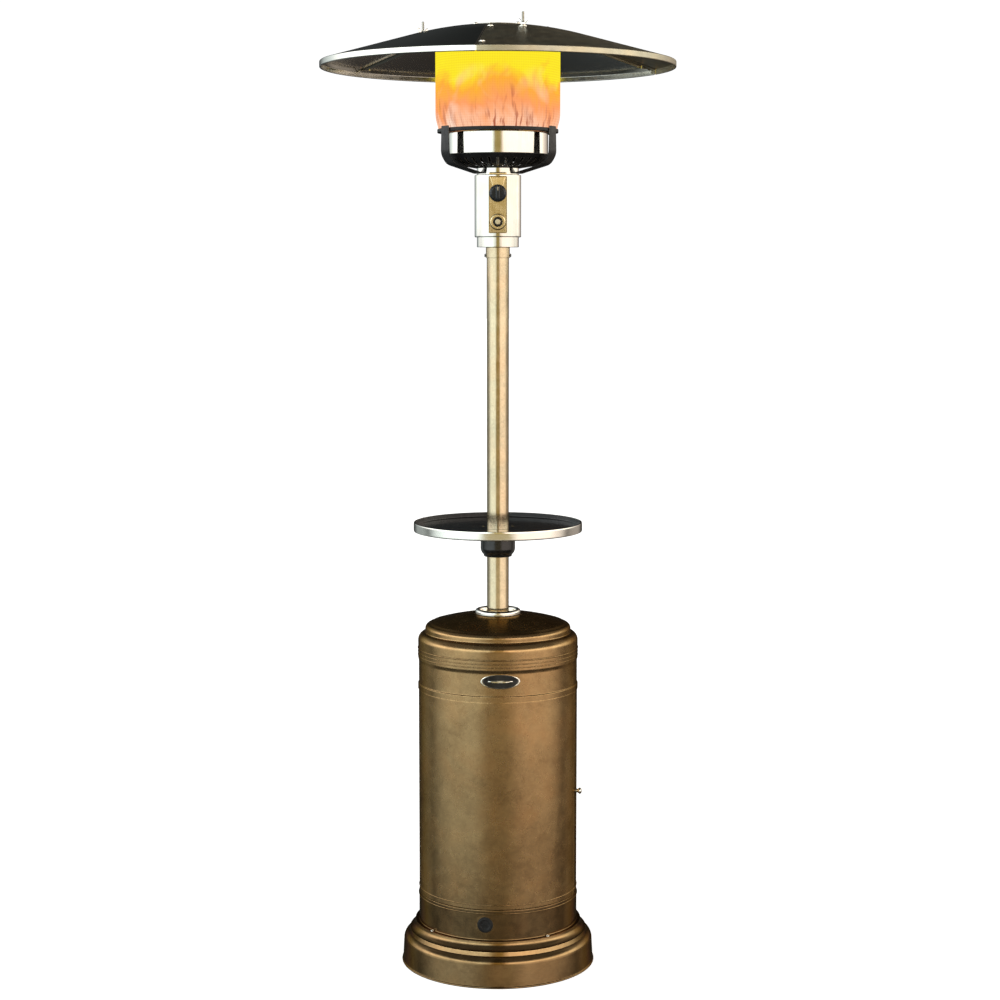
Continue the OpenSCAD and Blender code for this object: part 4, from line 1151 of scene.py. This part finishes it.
class HEATER_OT_reflector(bpy.types.Operator):
    """Three lapped reflector panels and the centre disc"""

    bl_idname = "heater.reflector"
    bl_label = "Reflector"

    def execute(self, context):
        """Each panel is a grid of profile points and azimuths. Columns near the seams are shifted by
        a fixed arc length, and the last ones sink along the normal to pass under the next panel."""
        s = context.scene.heater_top
        r, lap, apex = s.reflector_radius / MM, s.lap / MM, reflector_apex()
        radii = np.concatenate([np.linspace(r - 5, 218, 24), np.linspace(210, 40, 26)])
        dish = np.stack([radii, dish_height(radii, s, apex)], 1)
        edge = dish_height(r, s, apex)
        foot = edge - s.lip_height / MM
        lip = arc(r - 1.9, foot + 1.9, 1.9, -200, 0, 10)
        turned = corners([[r, foot + 2.0], [r, edge + 0.2], dish[0]], 3.2, steps=8)[1:]
        profile = guarded(distinct(joined(lip, turned, dish[1:]), False), False)
        ahead = np.gradient(profile, axis=0)
        ahead /= np.linalg.norm(ahead, axis=1)[:, None]
        normal = np.stack([ahead[:, 1], -ahead[:, 0]], 1)
        t = np.linspace(0.02, 0.98, 47)
        turn = joined([0.0, 0.0, 0.0], 120.0 * t, [120.0] * 6)
        under = [-lap - 4, -lap - 2, lap - 2.0, lap - 0.6, lap, lap]
        shift = joined([-lap, -lap + 0.5, 0.0], (-lap - 4) * t, under)
        sink = joined([0.0, 0.0, 0.0], np.zeros_like(t), [0.0, LAP_SINK, LAP_SINK, 1.6, 2.6, 7.5])
        inward = np.clip((r - 8 - profile[:, :1]) / 20, 0, 1)
        depth = np.minimum(sink, LAP_SINK)[None] + np.maximum(sink - LAP_SINK, 0)[None] * inward
        for name, start, finish in (
            ("panel_left", SEAMS[1], "reflector_sheet"),
            # The right panel takes the darker copy of the sheet, which is painted shade
            ("panel_right", SEAMS[2], "reflector_shaded"),
            ("panel_rear", SEAMS[0], "reflector_sheet"),
        ):
            a = np.radians(start + turn)[None] + shift[None] / profile[:, :1]
            radius = profile[:, :1] - normal[:, :1] * depth
            z = profile[:, 1:] - normal[:, 1:] * depth
            points = np.stack([radius * np.cos(a), radius * np.sin(a), z], 2)
            part = points.reshape(-1, 3), grid(len(profile), len(turn), False, False)
            make(name + "_pressed", [part], finish, [name], wall=1.2)
        rings = np.linspace(70, 0, 24)
        disc = np.stack([rings, dish_height(rings, s, apex) + CAP_RISE], 1)
        disc[0, 1] -= 0.4
        make("reflector_cap_pressed", [spun(disc)], "reflector_sheet", ["reflector_cap"],
             wall=1.1)
        return {"FINISHED"}


def wing_nut():
    """Wing nut on z = 0: turned hub and two ears. An ear is a stack of ellipses along x whose height
    swells as sin and whose middle climbs outwards."""
    hub = corners([[3.05, 0], [6, 0], [5.4, 5], [4.6, 8], [3.05, 8]], [0.2, 0.6, 1, 0.8, 0.2], closed=True)
    u = np.linspace(0, 1, 15)[:, None]
    v = np.linspace(0, 2 * math.pi, 24, endpoint=False)[None]
    tall = 0.6 + 4.2 * np.sqrt(np.sin(np.pi * (0.1 + 0.86 * u)))
    thick = 0.6 + 0.55 * np.sin(np.pi * u)
    x = (3.6 + 9.2 * u) * np.ones_like(v)
    z = 4.6 + 7.2 * u**0.9 + tall * np.sin(v)
    ear = loft(np.stack([x, thick * np.cos(v), z], 2))
    return [spun(hub, closed=True, step=11.25), *about(ear, EITHER_SIDE)]


class HEATER_OT_fasteners(bpy.types.Operator):
    """Studs, wing nuts, seam bolts and centre bolts of the reflector"""

    bl_idname = "heater.fasteners"
    bl_label = "Reflector fasteners"

    def execute(self, context):
        """Studs are turned with thread ridges r - d |saw|; the screws stand on washers along each seam."""
        s, apex = context.scene.heater_top, reflector_apex()
        low_z, top = span("reflector_studs")
        z = np.arange(low_z + 1, top - 0.6, 0.3)
        ridge = 2.98 - 0.3 * np.abs((z / 1.2) % 1.0 * 2 - 1)
        thread = np.stack([ridge, z], 1)
        rod = joined([[0, low_z], [2.4, low_z]], thread, [[2.2, top], [0, top]])
        seat = [[0, apex - 28.5], [8, apex - 28.5], [8, apex - 24.8], [0, apex - 24.8]]
        seat = spun(corners(seat, [0, 1, 0.8, 0]), step=11.25)
        cap = high("emitter_screen")[2]
        hexagons = hexagon(11, low_z, cap + 1), hexagon(11, cap + 3.5, cap + 8)
        parts = [moved(part, [STUD_RING, 0, 0]) for part in (spun(rod, step=22.5), seat, *hexagons)]
        studs = repeated(parts, STUDS)
        make("reflector_studs_threaded", studs, "bright_plate", ["reflector_studs"])
        base = dish_height(STUD_RING, s, apex)
        washer = corners(
            [[3.1, base - 0.6], [9, base - 1.4], [9, base + 0.8], [5, base + 2.8], [3.1, base + 2.8]],
            [0, 0.6, 0.8, 1, 0],
            closed=True,
        )
        nut = repeated([aimed(part, [0, 0, base + 2.8], UP) for part in wing_nut()], [WING_TURN])
        seated = [*nut, spun(washer, closed=True, step=11.25)]
        nuts = repeated([moved(part, [STUD_RING, 0, 0]) for part in seated], STUDS)
        make("wing_nuts_cast", nuts, "bright_plate", ["wing_nuts"])
        screws = []
        outer = s.reflector_radius / MM - 33
        for r, offset, lift in ((outer, 0, 0.0), (186.0, 0, 0.0), (56.0, 60, CAP_RISE)):
            screw = pan_head(5.0, 3.0, 2.4, 9.0, washer=1.2)
            stands = moved(screw, [r, 0, dish_height(r, s, apex) + lift + 0.2])
            screws += about(stands, np.array(SEAMS) + offset)
        make("reflector_bolts_set", screws, "bright_plate", ["reflector_bolts"])
        return {"FINISHED"}


# ---------------------------------------------------------------- carried pieces and stage


class HEATER_OT_finishes(bpy.types.Operator):
    """Every finish, and the finish of each frame piece that is shown as it is"""

    bl_idname = "heater.finishes"
    bl_label = "Finishes"

    def execute(self, context):
        """Builds the materials and gives one to each carried node."""
        make_finishes(context.scene.heater_colours)
        carried = {
            "dark_steel": "struts post_plate post_flange hinge_fixed hinge_moving pole_sleeve emitter_cap",
            "pin_steel": "frame_bolts hinge_pins regulator mixer_tube pilot_set",
            "tank_plastic": "ballast_tank",
            "bottle_paint": "gas_bottle",
            "brass_turned": "bottle_valve gas_valve valve_stem",
            "black_plastic": "handwheel coupling_nut tilt_switch",
            "hose_rubber": "gas_hose",
            "cast_iron": "burner_head",
        }
        for finish, nodes in carried.items():
            for node in nodes.split():
                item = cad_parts[node]
                item.data.materials.clear()
                item.data.materials.append(FINISHES[finish])
        return {"FINISHED"}


# light round the heater against the half turn from the camera, below and above the horizon
BELOW = [(0.40, 1.0), (0.52, 0.62), (0.60, 0.14), (0.68, 0.24), (0.79, 0.24), (0.86, 0.05), (1.0, 0.03)]
ABOVE = [(0.66, 1.1), (0.74, 0.6), (0.82, 0.35), (0.90, 0.04), (1.0, 0.015)]
# light from straight below (0) over the horizon (0.5) to straight above (1), before and behind
BEFORE = [(0.0, 0.04), (0.28, 0.04), (0.37, 0.05), (0.405, 0.10), (0.419, 0.45), (0.436, 0.95), (0.48, 1.0)]
BEFORE += [(0.515, 0.95), (0.54, 1.7), (0.60, 2.2), (0.64, 0.6), (0.68, 0.07), (0.80, 0.10), (1.0, 0.07)]
BEHIND = [(0.0, 0.15), (0.25, 0.35), (0.36, 0.8), (0.42, 1.0), (0.60, 1.2), (0.66, 0.4)]
BEHIND += [(0.80, 0.10), (1.0, 0.07)]
FLOOR_Z = -0.3
FLOOR_GAP = (0.60, 0.54, 0.41)
BACKGROUND = 1.05
BLACK, WHITE = (0.0, 0.0, 0.0), (1.0, 1.0, 1.0)


def studio_world(s):
    """Surrounding light as a function of direction: bright panels left and right of the front with a
    warm gap between them, fading to the sides, to the floor and overhead. The background is white."""
    world = bpy.data.worlds.new("studio")
    world.use_nodes = True
    w = Wiring(world.node_tree, "Generated")
    x, y, z = w.axis("X"), w.axis("Y"), w.axis("Z")
    angle = w.sum("ARCTAN2", w.sum("ABSOLUTE", x, 0.0), w.sum("MULTIPLY", y, -1.0))
    turn = w.sum("DIVIDE", angle, math.pi)
    rise = w.sum("ADD", w.sum("DIVIDE", w.sum("ARCSINE", z, 0.0), math.pi), 0.5)
    climbs = w.remap(rise, (0.442, 0.462), (0, 1)), w.remap(rise, (0.497, 0.506), (0, 1))
    sides = []
    for panel in (s.left_light, s.right_light):
        bands = []
        for gap, start, end, parts in (
            (FLOOR_GAP, 0.08, 0.20, BELOW),
            (s.gap_light, 0.09, 0.15, BELOW),
            (s.gap_light, 0.035, 0.075, ABOVE),
        ):
            row = [(0.0, gap), (start, gap), (end, panel)]
            bands.append(w.ramp(turn, row + [(place, times(panel, part)) for place, part in parts]))
        sides.append(w.blend(climbs[1], w.blend(climbs[0], bands[0], bands[1]), bands[2]))
    around = w.blend(w.remap(x, (-0.02, 0.02), (0, 1)), *sides)
    falls = [w.ramp(rise, [(place, (part, part, part)) for place, part in row]) for row in (BEFORE, BEHIND)]
    height = w.blend(w.remap(turn, (0.56, 0.66), (0, 1)), *falls)
    dim = w.nodes["Background"]
    w.put(dim.inputs["Color"], w.blend(1.0, around, height, "MULTIPLY"))
    w.put(dim.inputs["Strength"], s.panel_strength)
    white = w.nodes.new("ShaderNodeBackground")
    w.put(white.inputs["Strength"], BACKGROUND)
    w.put(white.inputs["Color"], rgba(WHITE))
    path, mix = w.nodes.new("ShaderNodeLightPath"), w.nodes.new("ShaderNodeMixShader")
    for socket, value in zip(mix.inputs, (path.outputs["Is Camera Ray"], dim.outputs[0], white.outputs[0])):
        w.put(socket, value)
    w.put(w.nodes["World Output"].inputs[0], mix.outputs[0])
    return world


class HEATER_OT_stage(bpy.types.Operator):
    """Pale floor, surrounding light and camera"""

    bl_idname = "heater.stage"
    bl_label = "Stage"

    def execute(self, context):
        """Wide floor disc a little under the foot, whose glow is darker near the axis as a painted shadow;
        light by direction; camera.
        """
        s = context.scene.heater_stage
        radii = np.array([60000.0, 20000.0, 9000.0, 3000.0, 1200.0, 0.0])
        disc = np.stack([radii, np.full_like(radii, FLOOR_Z)], 1)
        floor = mesh_object("floor", [spun(disc, step=5.625)])
        pale = Finish("floor_pale", {"Roughness": 0.9, "Specular IOR Level": 0.1, "Emission Strength": 1.0})
        grain = pale.remap(pale.noise(3.0, detail=4), (0.3, 0.7), (0.0, 1.0))
        pale.drive("Base Color", pale.blend(grain, (0.86, 0.86, 0.85), (0.9, 0.9, 0.89)))
        away = pale.nodes.new("ShaderNodeVectorMath")
        away.operation = "LENGTH"
        pale.put(away.inputs[0], pale.where)
        # The floor's glow falls to 0.86 near the axis: a painted shadow round the foot of the heater
        near = pale.remap(away.outputs["Value"], (0.2, 1.1), (0.86, 1.0), smooth=True)
        pale.drive("Emission Color", pale.blend(near, BLACK, WHITE))
        floor.data.materials.append(FINISHES["floor_pale"])
        floor.visible_glossy = False
        floor.visible_diffuse = False
        floor.visible_shadow = False
        context.scene.world = studio_world(s)
        context.scene.view_settings.view_transform = "Standard"
        data = bpy.data.cameras.new("camera")
        data.lens, data.clip_end = s.lens, 100.0
        camera = bpy.data.objects.new("camera", data)
        context.scene.collection.objects.link(camera)
        camera.location = (s.aside, -s.distance, s.eye_height)
        camera.rotation_euler = (math.pi / 2 - s.tilt, 0.0, 0.0)
        context.scene.camera = camera
        return {"FINISHED"}


OPERATORS = (
    HEATER_OT_stage,
    HEATER_OT_finishes,
    HEATER_OT_base,
    HEATER_OT_plug,
    HEATER_OT_housing,
    HEATER_OT_hood,
    HEATER_OT_badge,
    HEATER_OT_pole,
    HEATER_OT_table,
    HEATER_OT_control_head,
    HEATER_OT_knob,
    HEATER_OT_igniter,
    HEATER_OT_burner,
    HEATER_OT_brackets,
    HEATER_OT_reflector,
    HEATER_OT_fasteners,
)


class HEATER_PT_panel(bpy.types.Panel):
    """Lists the heater's pieces in the 3D view's sidebar"""

    bl_idname = "HEATER_PT_panel"
    bl_label = "Patio heater"
    bl_space_type = "VIEW_3D"
    bl_region_type = "UI"
    bl_category = "Patio heater"

    def draw(self, context):
        """Settings first, then one button for each operator."""
        for name in SETTINGS:
            group = getattr(context.scene, name)
            box = self.layout.box()
            for key in group.__annotations__:
                box.prop(group, key)
        for operator in OPERATORS:
            self.layout.operator(operator.bl_idname)


SETTINGS = {
    "heater_body": BodySizes,
    "heater_top": TopSizes,
    "heater_colours": HeaterColours,
    "heater_stage": StageSettings,
}


def register():
    """Registers the settings, the operators and the panel."""
    for kind in (*SETTINGS.values(), *OPERATORS, HEATER_PT_panel):
        bpy.utils.register_class(kind)
    for name, kind in SETTINGS.items():
        setattr(bpy.types.Scene, name, bpy.props.PointerProperty(type=kind))


def unregister():
    """Takes everything out again."""
    for name in SETTINGS:
        delattr(bpy.types.Scene, name)
    for kind in reversed((*SETTINGS.values(), *OPERATORS, HEATER_PT_panel)):
        bpy.utils.unregister_class(kind)


def main():
    register()
    for operator in OPERATORS:
        group, action = operator.bl_idname.split(".")
        getattr(getattr(bpy.ops, group), action)()


if __name__ == "__main__":
    main()
